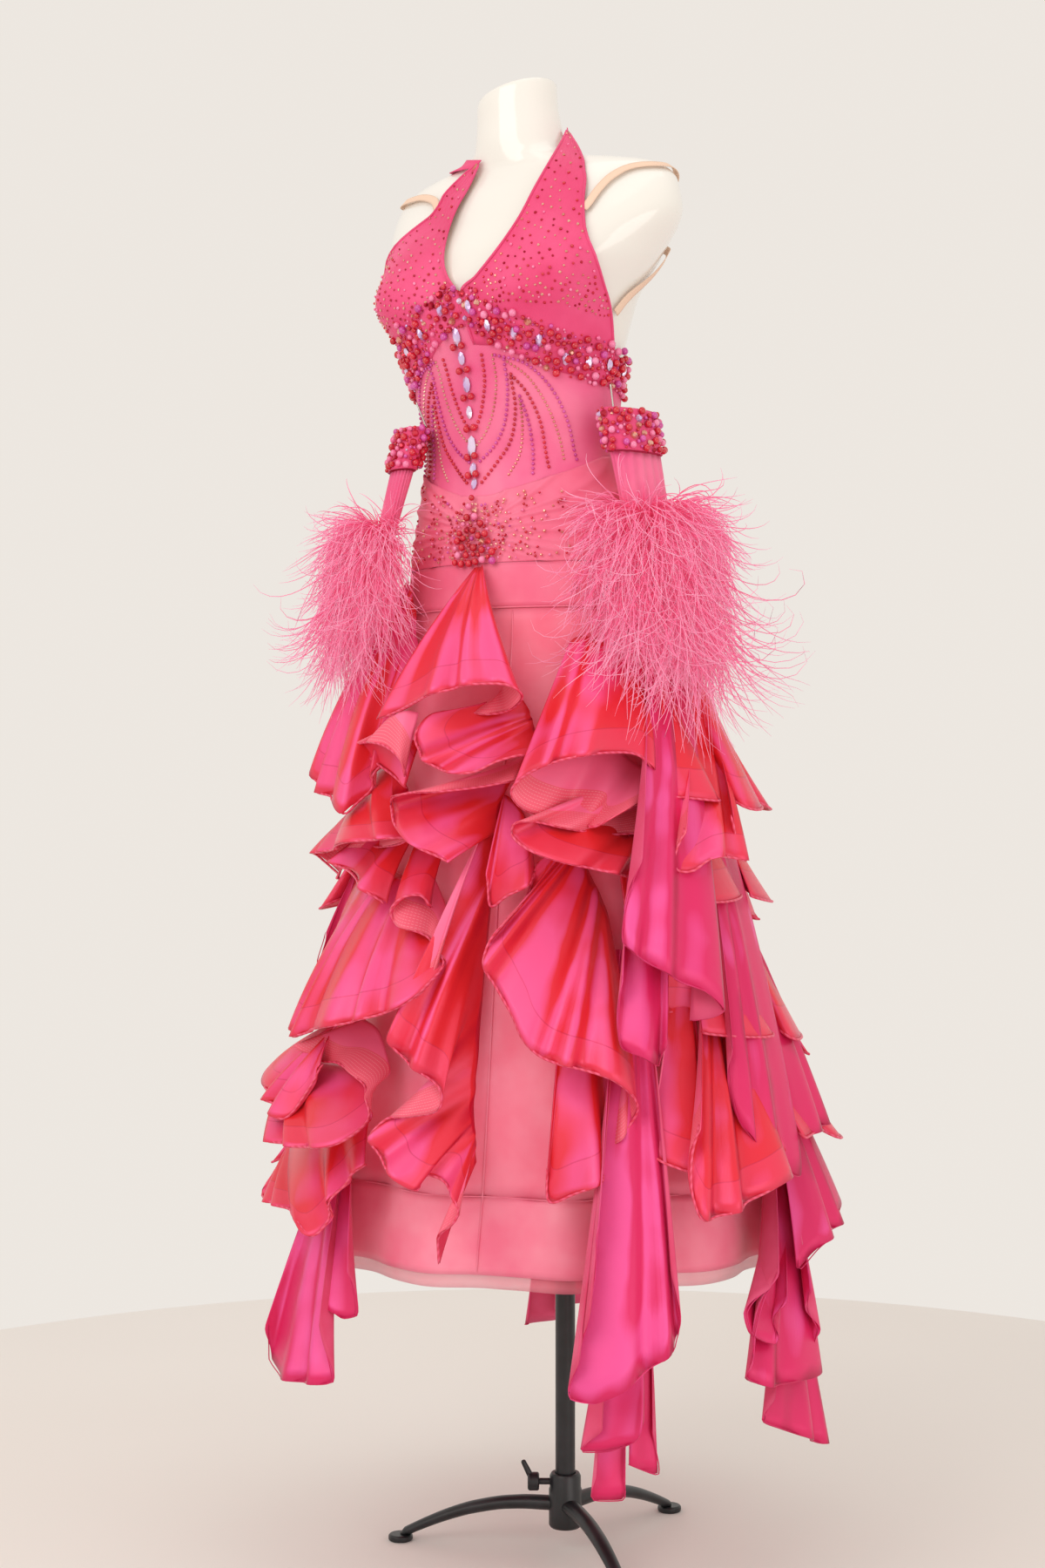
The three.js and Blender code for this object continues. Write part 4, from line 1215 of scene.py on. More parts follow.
FLOATS: dict[str, list] = {
    "float_short": [Tail((
        (735, 985, 112, 742, 745, 14), (720, 1045, 120, 748, 745, 14),
        (714, 1082, 126, 753, 745, 14), (730, 1096, 130, 759, 745, 14),
        (752, 1110, 132, 764, 745, 14), (782, 1127, 130, 770, 745, 14),
        (810, 1138, 126, 775, 745, 14), (828, 1160, 116, 781, 745, 14),
        (815, 1168, 104, 786, 745, 14), (795, 1172, 100, 792, 745, 14)), 0.04)],
    "float_column": [Tail((
        (713, 1120, 98, 722, 935, 22), (714, 1203, 106, 734, 935, 22),
        (735, 1213, 112, 745, 935, 22), (757, 1224, 110, 756, 935, 22),
        (764, 1180, 98, 768, 935, 22)), 0.03)],
    "float_long": [Tail((
        (686, 1400, 96, 706, 1090, 18), (684, 1465, 104, 710, 1090, 18),
        (668, 1545, 110, 713, 1090, 18), (654, 1606, 112, 717, 1090, 18),
        (682, 1611, 112, 720, 1090, 18), (712, 1598, 112, 724, 1090, 18),
        (745, 1573, 108, 727, 1090, 18), (775, 1548, 104, 731, 1090, 18),
        (780, 1530, 96, 734, 1090, 18), (770, 1460, 86, 738, 1090, 18)), 0.03),
        Tail((
            (836, 1200, 66, 802, 910, 14), (850, 1290, 76, 807, 910, 14),
            (880, 1330, 80, 812, 910, 14), (905, 1345, 80, 816, 910, 14),
            (918, 1350, 74, 821, 910, 14), (906, 1290, 62, 826, 910, 14)), 0.04)],
    "float_long_tail": [Tail((
        (690, 1640, 60, 700, 1405, 10), (667, 1667, 66, 710, 1405, 10),
        (700, 1667, 72, 719, 1405, 10), (728, 1655, 74, 728, 1405, 10),
        (738, 1630, 70, 738, 1405, 10)), 0.03),
        Tail((
            (684, 1690, 50, 702, 1410, 6), (680, 1722, 54, 706, 1410, 6),
            (700, 1724, 58, 710, 1410, 6), (718, 1722, 56, 714, 1410, 6),
            (716, 1690, 50, 718, 1410, 6)), 0.02),
        Tail((
            (720, 1680, 44, 724, 1405, 4), (757, 1694, 48, 731, 1405, 4),
            (758, 1684, 44, 737, 1405, 4), (748, 1640, 40, 744, 1405, 4)), 0.02)],
    "float_side": [Tail((
        (898, 1240, 48, 830, 1030, 12), (906, 1288, 58, 836, 1030, 12),
        (925, 1304, 70, 841, 1030, 12), (945, 1293, 76, 847, 1030, 12),
        (955, 1283, 72, 852, 1030, 12), (938, 1250, 58, 858, 1030, 12)), 0.04),
        Tail((
            (915, 1420, 38, 896, 1170, 8), (921, 1458, 52, 899, 1170, 8),
            (944, 1430, 62, 901, 1170, 8), (965, 1400, 66, 904, 1170, 8),
            (967, 1378, 62, 907, 1170, 8), (955, 1357, 52, 909, 1170, 8),
            (936, 1335, 42, 912, 1170, 8)), 0.04)],
    "float_back_left": [Tail((
        (888, 1460, 60, 894, 1245, 10), (868, 1535, 70, 896, 1245, 10),
        (856, 1579, 76, 899, 1245, 10), (880, 1592, 78, 901, 1245, 10),
        (910, 1587, 76, 903, 1245, 10), (940, 1573, 70, 906, 1245, 10),
        (927, 1480, 58, 908, 1245, 10)), 0.03),
        Tail((
            (885, 1600, 58, 890, 1400, 8), (879, 1632, 64, 892, 1400, 8),
            (903, 1642, 70, 895, 1400, 8), (925, 1650, 70, 897, 1400, 8),
            (946, 1656, 66, 900, 1400, 8), (937, 1600, 54, 902, 1400, 8)), 0.02),
        Tail((
            (880, 1475, 56, 892, 1330, 8), (860, 1508, 66, 894, 1330, 8),
            (866, 1532, 70, 897, 1330, 8), (885, 1542, 66, 900, 1330, 8),
            (897, 1490, 54, 902, 1330, 8)), 0.02)],
    "float_back": [Wave((196, 470, 214, 470), (192, 250, 216, 190), 14, 96, 20, 2, 0.16, -1)],
    "float_right": [Tail((
        (312, 1520, 68, 378, 1320, 10), (306, 1560, 76, 382, 1320, 10),
        (324, 1582, 80, 385, 1320, 10), (352, 1588, 80, 389, 1320, 10),
        (377, 1588, 76, 392, 1320, 10), (372, 1520, 62, 396, 1320, 10)), 0.03),
        Tail((
            (380, 1500, 46, 388, 1330, 10), (392, 1514, 52, 393, 1330, 10),
            (405, 1511, 52, 399, 1330, 10), (402, 1460, 44, 404, 1330, 10)), 0.02),
        Tail((
            (385, 1110, 30, 394, 1000, 22), (364, 1121, 44, 390, 998, 24),
            (350, 1106, 56, 386, 998, 26), (362, 1070, 50, 384, 1000, 26)), 0.02)],
}


# ------------------------------------------------------------------ skirt, yoke and swathe
@dataclass
class Skirt:
    """Underskirt with its seam, hem band and net, and the plain yoke above."""

    across: int = 200

    def ring(self, name: str, node: str, top: float, low: float, out: float, down: int,
             thick: float, finish: Finish, slot: str, held: str, rests: Sequence[str],
             surface: Callable[[Array, Array, Array], Array] = underskirt
             ) -> bpy.types.Object:
        """Make one closed ring of cloth.

        Args:
            name: the piece's name.
            node: the CAD node that it stands for.
            top: height of its upper edge.
            low: height of its lower edge.
            out: clear space.
            down: squares down.
            thick: thickness in millimetres.
            finish: its finish.
            slot: the record's material slot.
            held: how it is held; not used.
            rests: what it hangs from; not used.
            surface: the surface that it follows.

        Returns:
            The piece.
        """
        sizes = GOWN.at(np.array([(top + low) / 2]))
        width = math.pi * float((sizes[2] + sizes[3])[0] + 2 * out) * MM

        def place(s: Array, t: Array) -> Array:
            """Points of the ring, with faint folds near the seam."""
            turn = 360 * s
            z = top + (low - top) * t
            ripple = 1.2 * np.sin(np.radians(turn * 23)) * smooth((1000 - z) / 500)
            return surface(turn, z, out + thick / 2 + ripple)

        def pattern(s: Array, t: Array) -> Array:
            """Metres round and down."""
            return np.stack([s * width, t * (top - low) * MM], -1)

        mesh = grid_mesh([(self.across, down, place, pattern)], closed=True)
        piece = finished(name, mesh, [finish], "dressed_form", [node], slot)
        thicken(piece, thick)
        return piece

    def build(self) -> None:
        """Make the underskirt, its hem, the net, the yoke and the seams."""
        self.ring("yoke_band_cloth", "yoke_band", YOKE_TOP, YOKE_BOTTOM, 1.4, 8, 1.2,
                  Finish.CORAL, "coral_stretch", "stretched", ["form_body_shell"], GOWN.point)
        self.ring("underskirt_cloth", "underskirt", YOKE_BOTTOM - 0.8, BAND_TOP + 0.4, 0, 40,
                  0.8, Finish.ORGANZA, "coral_organza", "hung", ["yoke_band_cloth"])
        self.ring("underskirt_hem_cloth", "underskirt_hem", BAND_TOP, SKIRT_HEM, 0.2, 10, 1.6,
                  Finish.ORGANZA_BAND, "coral_organza", "hung", ["underskirt_cloth"])
        self.ring("net_hem_cloth", "net_hem", BAND_TOP - 20, NET_HEM, -6, 10, 0.6, Finish.NET,
                  "net", "hung", ["underskirt_hem_cloth"])
        z = np.linspace(YOKE_BOTTOM - 4, SKIRT_HEM + 3, 90)
        self.seam("centre_front_seam", underskirt(np.full_like(z, 14.0), z, 0.9), 1.1)
        turns = np.linspace(-180, 180, 241)
        level = np.ones_like(turns)
        self.seam("hem_band_seam", underskirt(turns, level * (BAND_TOP + 0.2), 1.0), 0.8)
        self.seam("yoke_seam", GOWN.point(turns, level * (YOKE_BOTTOM - 0.4), 2.4), 1.0)

    def seam(self, name: str, path: Array, radius: float) -> None:
        """Make one raised seam line.

        Args:
            name: the piece's name.
            path: points in millimetres.
            radius: in millimetres.
        """
        finished(name, tube_mesh(path, radius), [Finish.ORGANZA_BAND], "dressed_form",
                 slot="coral_organza")


@dataclass
class Bodice:
    """Halter cups, neck band, back band, sheer midriff and ruched swathe."""

    def cups(self) -> dict[str, tuple[Array, Array]]:
        """Edges of each cup, from the trim up to the neck.

        Returns:
            For each cup's node, the points of its inner and of its outer edge.
        """
        left_inner = [VIEW.seen(x, y, o) for x, y, o in (
            (545, 396, 1.5), (534, 340, 1.5), (552, 318, 2), (575, 286, 3), (597, 250, 4),
            (615, 214, 5), (632, 184, 5), (645, 161, 4), (651, 149, 3))]
        left_outer = [VIEW.seen(x, y, o) for x, y, o in (
            (705, 418, 1.5), (700, 358, 1.5), (688, 326, 1.5), (677, 298, 2), (670, 266, 2),
            (669, 232, 2), (671, 203, 2), (667, 176, 3), (656, 151, 3))]
        right_inner = [VIEW.seen(x, y, o) for x, y, o in (
            (536, 372, 1.5), (530, 338, 1.5), (519, 318, 4), (514, 296, 6), (516, 268, 6),
            (524, 240, 6), (539, 214, 5), (551, 188, 3))]
        right_outer = [GOWN.point(np.array([t]), np.array([z]), 1.5)[0] for t, z in (
            (-78, 1432), (-76, 1470), (-71, 1512), (-62, 1556))]
        right_outer += [VIEW.seen(x, y, o) for x, y, o in (
            (499, 246, 2), (511, 223, 2), (530, 204, 2), (547, 189, 3))]
        return {"bodice_cup_left": (np.array(left_inner), np.array(left_outer)),
                "bodice_cup_right": (np.array(right_inner), np.array(right_outer))}

    def panel(self, name: str, node: str, place: Place, size: tuple[float, float],
              squares: tuple[int, int], finish: Finish, slot: str, thick: float = 1.0,
              lining: bool = False) -> bpy.types.Object:
        """Make one fitted panel.

        Args:
            name: the piece's name.
            node: the CAD node that it stands for.
            place: its points.
            size: flat width and length in millimetres.
            squares: grid squares across and down.
            finish: its finish.
            slot: the record's material slot.
            thick: thickness in millimetres.
            lining: the inner side is nude lining.

        Returns:
            The piece.
        """
        def pattern(s: Array, t: Array) -> Array:
            """Metres across and down."""
            return np.stack([s * size[0] * MM, t * size[1] * MM], -1)

        finishes = [finish, Finish.LINING] if lining else [finish]
        piece = finished(name, grid_mesh([(*squares, place, pattern)]), finishes,
                         "dressed_form", [node], slot)
        thicken(piece, thick, back=lining)
        return piece

    def cup_place(self, inner: Array, outer: Array) -> Place:
        """Points of a cup between its edges, taut over every hollow of the form.

        Args:
            inner: points of the edge next to the centre front.
            outer: points of the edge next to the arm, as many.

        Returns:
            The function that gives the cup's points.
        """
        knots = np.arange(len(inner), dtype=float)

        def place(s: Array, t: Array) -> Array:
            """Points of the cup."""
            one = hermite(knots, inner, t * knots[-1])
            two = hermite(knots, outer, t * knots[-1])
            gather = 0.9 * t ** 2 * np.sin(s * 34) * np.sin(np.pi * s)
            points = one + (two - one) * s[:, None]
            return GOWN.keep_out(points, 1.5) + VIEW.back * gather[:, None]

        return place

    def build(self) -> None:
        """Make every panel of the bodice."""
        tips = []
        for node, (inner, outer) in self.cups().items():
            place = self.cup_place(inner, outer)
            tips.append((inner[-1] + outer[-1]) / 2)
            self.panel(f"{node}_cloth", node, place, (170, 285), (36, 60), Finish.STRETCH,
                       "bodice_stretch", 1.4, lining=True)
            ends = np.linspace(0, 1, 60)
            for side, share in (("inner", 0.0), ("outer", 1.0)):
                path = place(np.full(60, share), ends)
                finished(f"{node}_{side}_binding", tube_mesh(path, 1.7), [Finish.STRETCH],
                         "dressed_form", slot="bodice_stretch")
        ends = np.array(tips)
        first, last = GOWN.locate(ends)

        def neck(s: Array, t: Array) -> Array:
            """Points of the band behind the neck, from tip to tip of the cups."""
            wide = 8 + 8 * np.sin(np.pi * s)
            z = ends[0, 2] + (ends[1, 2] - ends[0, 2]) * s + wide * (0.5 - t)
            return GOWN.point(first + (last + 360 - first) * s, z, 3.0)

        self.panel("halter_neck_band_cloth", "halter_neck_band", neck, (230, 14), (90, 6),
                   Finish.STRETCH, "bodice_stretch")

        def back(s: Array, t: Array) -> Array:
            """Points of the low back band."""
            turn = 112.4 + 135.2 * s
            high, low = rows_at(TRIM_HIGH, wrap(turn)), rows_at(TRIM_LOW, wrap(turn))
            return GOWN.point(turn, high + (low - high) * t, 1.5)

        self.panel("bodice_back_cloth", "bodice_back", back, (255, 36), (60, 10),
                   Finish.STRETCH, "bodice_stretch")
        for node, start, end in (("midriff_front", -90.0, 90.0),
                                 ("midriff_back", 90.3, 269.7)):
            self.panel(f"{node}_cloth", node, self.midriff(start, end), (330, 110),
                       (90, 30), Finish.SHEER, "sheer_mesh", 0.8)
        for node, start, end, squares in (("hip_swathe_front", -90.0, 90.0, (160, 48)),
                                          ("hip_swathe_back", 90.3, 269.7, (90, 24))):
            self.panel(f"{node}_cloth", node, self.swathe(start, end), (470, 140), squares,
                       Finish.CORAL, "coral_stretch", 1.0)

    def midriff(self, start: float, end: float) -> Place:
        """Points of a midriff panel.

        Args:
            start: turn of its first side seam, in degrees.
            end: turn of its other side seam.

        Returns:
            The function that gives the panel's points.
        """
        def place(s: Array, t: Array) -> Array:
            """Points of the panel."""
            turn = wrap(start + (end - start) * s + 1e-9)
            high, low = rows_at(TRIM_LOW, turn) + 6, rows_at(SWATHE_HIGH, turn) - 6
            return GOWN.point(turn, high + (low - high) * t, 1.0)
        return place

    def swathe(self, start: float, end: float) -> Place:
        """Points of the ruched swathe: pleats fan out from the bead cluster.

        Args:
            start: turn of its first side seam, in degrees.
            end: turn of its other side seam.

        Returns:
            The function that gives the swathe's points.
        """
        def place(s: Array, t: Array) -> Array:
            """Points of the swathe."""
            turn = start + (end - start) * s
            at = wrap(turn)
            high = rows_at(SWATHE_HIGH, at)
            z = high + (YOKE_TOP + 0.4 - high) * t
            away = np.abs(at + 4)
            fan = np.degrees(np.arctan2(z - 1222, (away + 5) * 2.3))
            strength = smooth((away - 3) / 16) * (1 - 0.55 * smooth((away - 40) / 90))
            ridges = np.zeros_like(z)
            # Each pleat: angle of its ridge, half width and height.
            for angle, half, tall in ((-24, 2.2, 1.8), (-15, 1.6, 2.6), (-7, 1.9, 2.0),
                                      (0, 1.5, 3.0), (7, 2.0, 2.6), (15, 1.6, 3.4),
                                      (22, 1.9, 2.8), (31, 2.4, 3.6), (41, 2.2, 3.0),
                                      (52, 2.8, 3.2), (64, 3.2, 2.6)):
                lean = angle * (1 + 0.12 * np.sin(np.radians(at * 2.2 + angle * 9)))
                ridges += tall * np.exp(-(((fan - lean) / half) ** 2))
            return GOWN.point(turn, z, 2.0 + ridges * strength)
        return place


# ------------------------------------------------------------------ beads and stones
@dataclass
class BeadWork:
    """Pearls, beads and stones: trim, centre line, cluster, arcs and scattered stones."""

    seed: int = 11
    finishes: tuple = (Finish.PEARL_RED, Finish.PEARL_PINK, Finish.BEAD_MAGENTA,
                       Finish.RHINESTONE, Finish.RUBY, Finish.CRYSTAL)

    def __post_init__(self) -> None:
        """Start the seeded numbers."""
        self.random = np.random.default_rng(self.seed)

    def group(self, turn: Array, z: Array, out: Array, size: Array, mark: int,
              flat: bool = False) -> tuple:
        """One group of beads on the gown.

        Args:
            turn: degrees from the front towards the wearer's left.
            z: heights.
            out: clear space under each bead's middle.
            size: radius of each bead.
            mark: number of their finish.
            flat: they are stones that lie flat on the cloth.

        Returns:
            Centres, sizes, outward directions if flat, and the finish's number.
        """
        centres = GOWN.point(turn, z, out)
        away = outward_of(GOWN.point, turn, z) if flat else None
        sizes = np.stack([size, size, size], -1)
        return centres, sizes, away, mark

    def piece(self, name: str, groups: Sequence[tuple], nodes: Sequence[str],
              slot: str) -> None:
        """Join the groups into one piece.

        Args:
            name: the piece's name.
            groups: bead groups.
            nodes: CAD nodes that it stands for.
            slot: the record's material slot.
        """
        mesh = beads_mesh(name, groups)
        finished(name, mesh, self.finishes, "dressed_form", nodes, slot)

    def spaced(self, turn: Array, z: Array, gap: Array, surface: Array) -> Array:
        """Pick points that keep their gap, in order.

        Args:
            turn: candidate turns; not used.
            z: candidate heights; not used.
            gap: clear space wanted round each.
            surface: candidate points in millimetres.

        Returns:
            Numbers of the kept candidates.
        """
        kept: list[int] = []
        cells: dict[tuple[int, int, int], list[int]] = {}
        wide = float(gap.max())
        for i, point in enumerate(surface):
            cell = tuple(int(c // wide) for c in point)
            near = [j for dx in (-1, 0, 1) for dy in (-1, 0, 1) for dz in (-1, 0, 1)
                    for j in cells.get((cell[0] + dx, cell[1] + dy, cell[2] + dz), ())]
            if all(np.linalg.norm(surface[j] - point) > (gap[i] + gap[j]) / 2 for j in near):
                kept.append(i)
                cells.setdefault(cell, []).append(i)
        return np.array(kept, int)

    def field(self, count: int, turns: tuple[float, float], heights: Callable, sizes: tuple,
              marks: Sequence[float], out: float, small: float = 1.0) -> list[tuple]:
        """Fill a region with beads of mixed size and kind.

        Args:
            count: candidates.
            turns: from and to.
            heights: low and high curves for turns.
            sizes: smallest and largest radius.
            marks: share of each finish.
            out: clear space under a bead.
            small: how far the mix leans to the smallest sizes.

        Returns:
            Bead groups.
        """
        turn = self.random.uniform(*turns, count)
        low, high = heights(turn)
        z = low + (high - low) * self.random.uniform(0, 1, count)
        radius = sizes[0] + (sizes[1] - sizes[0]) * self.random.uniform(0, 1, count) ** small
        order = np.argsort(-radius)
        turn, z, radius = turn[order], z[order], radius[order]
        points = GOWN.point(turn, z, out)
        keep = self.spaced(turn, z, radius * 2.02, points)
        turn, z, radius = turn[keep], z[keep], radius[keep]
        kind = self.random.choice(len(marks), len(turn), p=np.array(marks) / sum(marks))
        return [self.group(turn[kind == k], z[kind == k], out + radius[kind == k] * 0.7,
                           radius[kind == k], k, flat=k >= 3)
                for k in range(len(marks)) if (kind == k).any()]

    def trim(self) -> None:
        """The heavy under-bust trim."""
        groups = self.field(
            2600, (-112, 112),
            lambda turn: (rows_at(TRIM_LOW, turn) - 3, rows_at(TRIM_HIGH, turn)
                          + 3 + 6 * self.random.uniform(0, 1, len(turn)) ** 2),
            (1.3, 4.9), (0.5, 0.24, 0.12, 0.05, 0.07, 0.02), 2.0, 2.2)
        turn = np.array([-92, -70, -52, -38, -22, -9, 4, 12, 24, 36, 50, 64, 80, 98], float)
        z = (rows_at(TRIM_LOW, turn) + rows_at(TRIM_HIGH, turn)) / 2 + 6 * np.cos(turn * 9.1)
        centres = GOWN.point(turn, z, 6.5)
        size = np.tile([4.2, 7.5, 3.2], (len(turn), 1))
        groups.append((centres, size, outward_of(GOWN.point, turn, z), 5))
        self.piece("underbust_trim_beads", groups, ["underbust_trim"], "beads")

        def backing(s: Array, t: Array) -> Array:
            """Points of the cloth under the beads."""
            at = -112 + 224 * s
            high, low = rows_at(TRIM_HIGH, at), rows_at(TRIM_LOW, at)
            return GOWN.point(at, high + (low - high) * t, 2.2)

        piece = finished("underbust_trim_backing",
                         grid_mesh([(110, 6, backing,
                                     lambda s, t: np.stack([s * 0.45, t * 0.04], -1))]),
                         [Finish.STRETCH], "dressed_form", slot="bodice_stretch")
        thicken(piece, 1.0)

    def centre(self) -> None:
        """Line of cut stones with pearls between them, and the cluster below."""
        turn = np.array([-4.5, -4.2, -4.1, -4.7, -5.6, -5.0, -4.2], float)
        z = np.array([1452, 1428, 1398, 1366, 1326, 1300, 1282], float)
        size = np.array([[5.5, 11, 3.4], [5, 8, 3.2], [5.5, 9.5, 3.4], [4.5, 8, 3.2],
                         [6.5, 13.5, 3.6], [5, 8, 3.2], [4.5, 7, 3.0]])
        groups = [(GOWN.point(turn, z, 5.0), size, outward_of(GOWN.point, turn, z), 5)]
        beads_turn, beads_z = [], []
        for k in range(len(z) - 1):
            middle = (z[k] + z[k + 1]) / 2
            for shift, rise in ((-2.3, 1.0), (2.3, 2.0)):
                beads_turn.append(turn[k] + shift)
                beads_z.append(middle + rise)
        groups.append(self.group(np.array(beads_turn), np.array(beads_z), 5.5,
                                 np.full(len(beads_z), 4.5), 0))
        self.piece("centre_stones_line", groups, ["centre_stones"], "stones")
        groups = self.field(500, (-13, 6),
                            lambda turn: (1186 + 0 * turn, 1266 - np.abs(turn + 4) * 6.5),
                            (1.6, 4.6), (0.6, 0.2, 0.1, 0.04, 0.06, 0.0), 6.0, 1.4)
        self.piece("bead_cluster_beads", groups, ["bead_cluster"], "beads")

    def arcs(self) -> None:
        """Nested arcs of small beads on the midriff, mirrored about the line of stones."""
        rows = (
            ((554, 408), (557, 439), (554, 470), (548, 490)),
            ((566, 408), (570, 439), (567, 470), (559, 495), (548, 511)),
            ((579, 413), (583, 449), (580, 485), (569, 511), (551, 531)),
            ((587, 434), (592, 470), (587, 505), (571, 531), (554, 554)),
            ((597, 459), (600, 490), (597, 521), (583, 547)),
            ((597, 455), (607, 485), (612, 516), (612, 544)),
            ((587, 430), (607, 454), (622, 490), (630, 536)),
            ((579, 413), (607, 434), (630, 470), (643, 505), (648, 531)),
            ((569, 408), (604, 418), (635, 449), (653, 490), (663, 531)))
        groups: list[tuple] = []
        for k, picks in enumerate(rows):
            points = np.array([VIEW.seen(x, y, 1.2) for x, y in picks])
            knots = np.linspace(0, 1, len(points))
            line = hermite(knots, np.c_[GOWN.locate(points), points[:, 2]],
                           np.linspace(0, 1, 160))
            for side in (1, -1):
                turn = line[:, 0] if side > 0 else -8.8 - line[:, 0]
                path = GOWN.point(turn, line[:, 1], 1.2)
                run = np.r_[0, np.cumsum(np.linalg.norm(np.diff(path, axis=0), axis=1))]
                size, gap, mark = ((2.1, 6.0, 0), (1.7, 5.0, 3), (2.0, 5.8, 2))[k % 3]
                at = np.arange(0, run[-1], gap)
                groups.append(self.group(np.interp(at, run, turn), np.interp(at, run, line[:, 1]),
                                         np.full(len(at), 1.2 + size * 0.6),
                                         np.full(len(at), size), mark, flat=mark == 3))
        self.piece("midriff_bead_arcs", groups, [], "beads")

    def scatter(self) -> None:
        """Small stones scattered over the cups, thicker near the trim, and on the swathe."""
        groups: list[tuple] = []
        for inner, outer in Bodice().cups().values():
            place = Bodice().cup_place(inner, outer)
            count = 1500
            t = 0.1 + 0.86 * self.random.uniform(0, 1, count) ** 1.8
            s = self.random.uniform(0.04, 0.96, count)
            points = place(s, t)
            radius = self.random.uniform(1.2, 2.1, count)
            keep = self.spaced(s, t, 4.0 + 11 * t, points)
            points, radius, t = points[keep], radius[keep], t[keep]
            middle = np.stack(GOWN.at(points[:, 2])[:2] + [points[:, 2]], -1)
            away = points - middle
            away /= np.linalg.norm(away, axis=1)[:, None]
            kind = self.random.choice([0, 1, 3, 4], len(points), p=[0.14, 0.12, 0.4, 0.34])
            for mark in (0, 1, 3, 4):
                pick = kind == mark
                size = np.repeat(radius[pick][:, None], 3, 1)
                flat = away[pick] if mark >= 3 else None
                groups.append((points[pick] + away[pick] * 1.2, size, flat, mark))
        # Stones on the swathe thin out away from the cluster.
        for near, far, count in ((0, 14, 110), (14, 30, 60), (30, 48, 26)):
            for turns in ((-4 - far, -4 - near), (-4 + near, -4 + far)):
                groups += self.field(
                    count, turns, lambda turn: (1190 + 0 * turn, rows_at(SWATHE_HIGH, turn) - 8),
                    (1.3, 2.1), (0.2, 0.14, 0.06, 0.38, 0.22, 0.0), 5.0)
        self.piece("scattered_stones", groups, [], "stones")

    def build(self) -> None:
        """Make all bead work on the gown."""
        self.trim()
        self.centre()
        self.arcs()
        self.scatter()


# ------------------------------------------------------------------ straps
@dataclass
class Straps:
    """Nude elastic over each shoulder and under the arm."""

    left: tuple = ((36, 1590), (40, 1615), (46, 1633), (56, 1644), (75, 1648), (100, 1648),
                   (128, 1634), (146, 1604), (142, 1576), (126, 1564), (114, 1552),
                   (102, 1524), (86, 1497), (78, 1477))
    right: tuple = ((-25.6, 1618), (-31, 1633), (-42, 1643), (-58, 1646), (-75, 1648),
                    (-100, 1648), (-128, 1634), (-146, 1604), (-142, 1576), (-126, 1564),
                    (-114, 1552), (-102, 1524), (-86, 1497), (-80, 1480))
    width: float = 10.0

    def build(self) -> None:
        """Make both straps."""
        for name, path in (("strap_left", self.left), ("strap_right", self.right)):
            rows = np.array(path, float)
            knots = np.linspace(0, 1, len(rows))
            line = hermite(knots, rows, np.linspace(0, 1, 121))
            centre = GOWN.point(line[:, 0], line[:, 1], 2.4)
            run = np.gradient(centre, axis=0)
            run /= np.linalg.norm(run, axis=1)[:, None]
            across = np.cross(run, outward_of(GOWN.point, line[:, 0], line[:, 1]))
            across /= np.linalg.norm(across, axis=1)[:, None]

            def place(s: Array, t: Array, centre: Array = centre,
                      across: Array = across) -> Array:
                """Points of the strap."""
                i = np.rint(s * 120).astype(int)
                return centre[i] + across[i] * ((t - 0.5) * self.width)[:, None]

            length = float(np.linalg.norm(np.diff(centre, axis=0), axis=1).sum()) * MM
            piece = finished(f"{name}_elastic", grid_mesh([(
                120, 4, place, lambda s, t: np.stack([s * length, t * 0.01], -1))]),
                [Finish.ELASTIC], "dressed_form", [name], "nude_elastic")
            thicken(piece, 0.9)


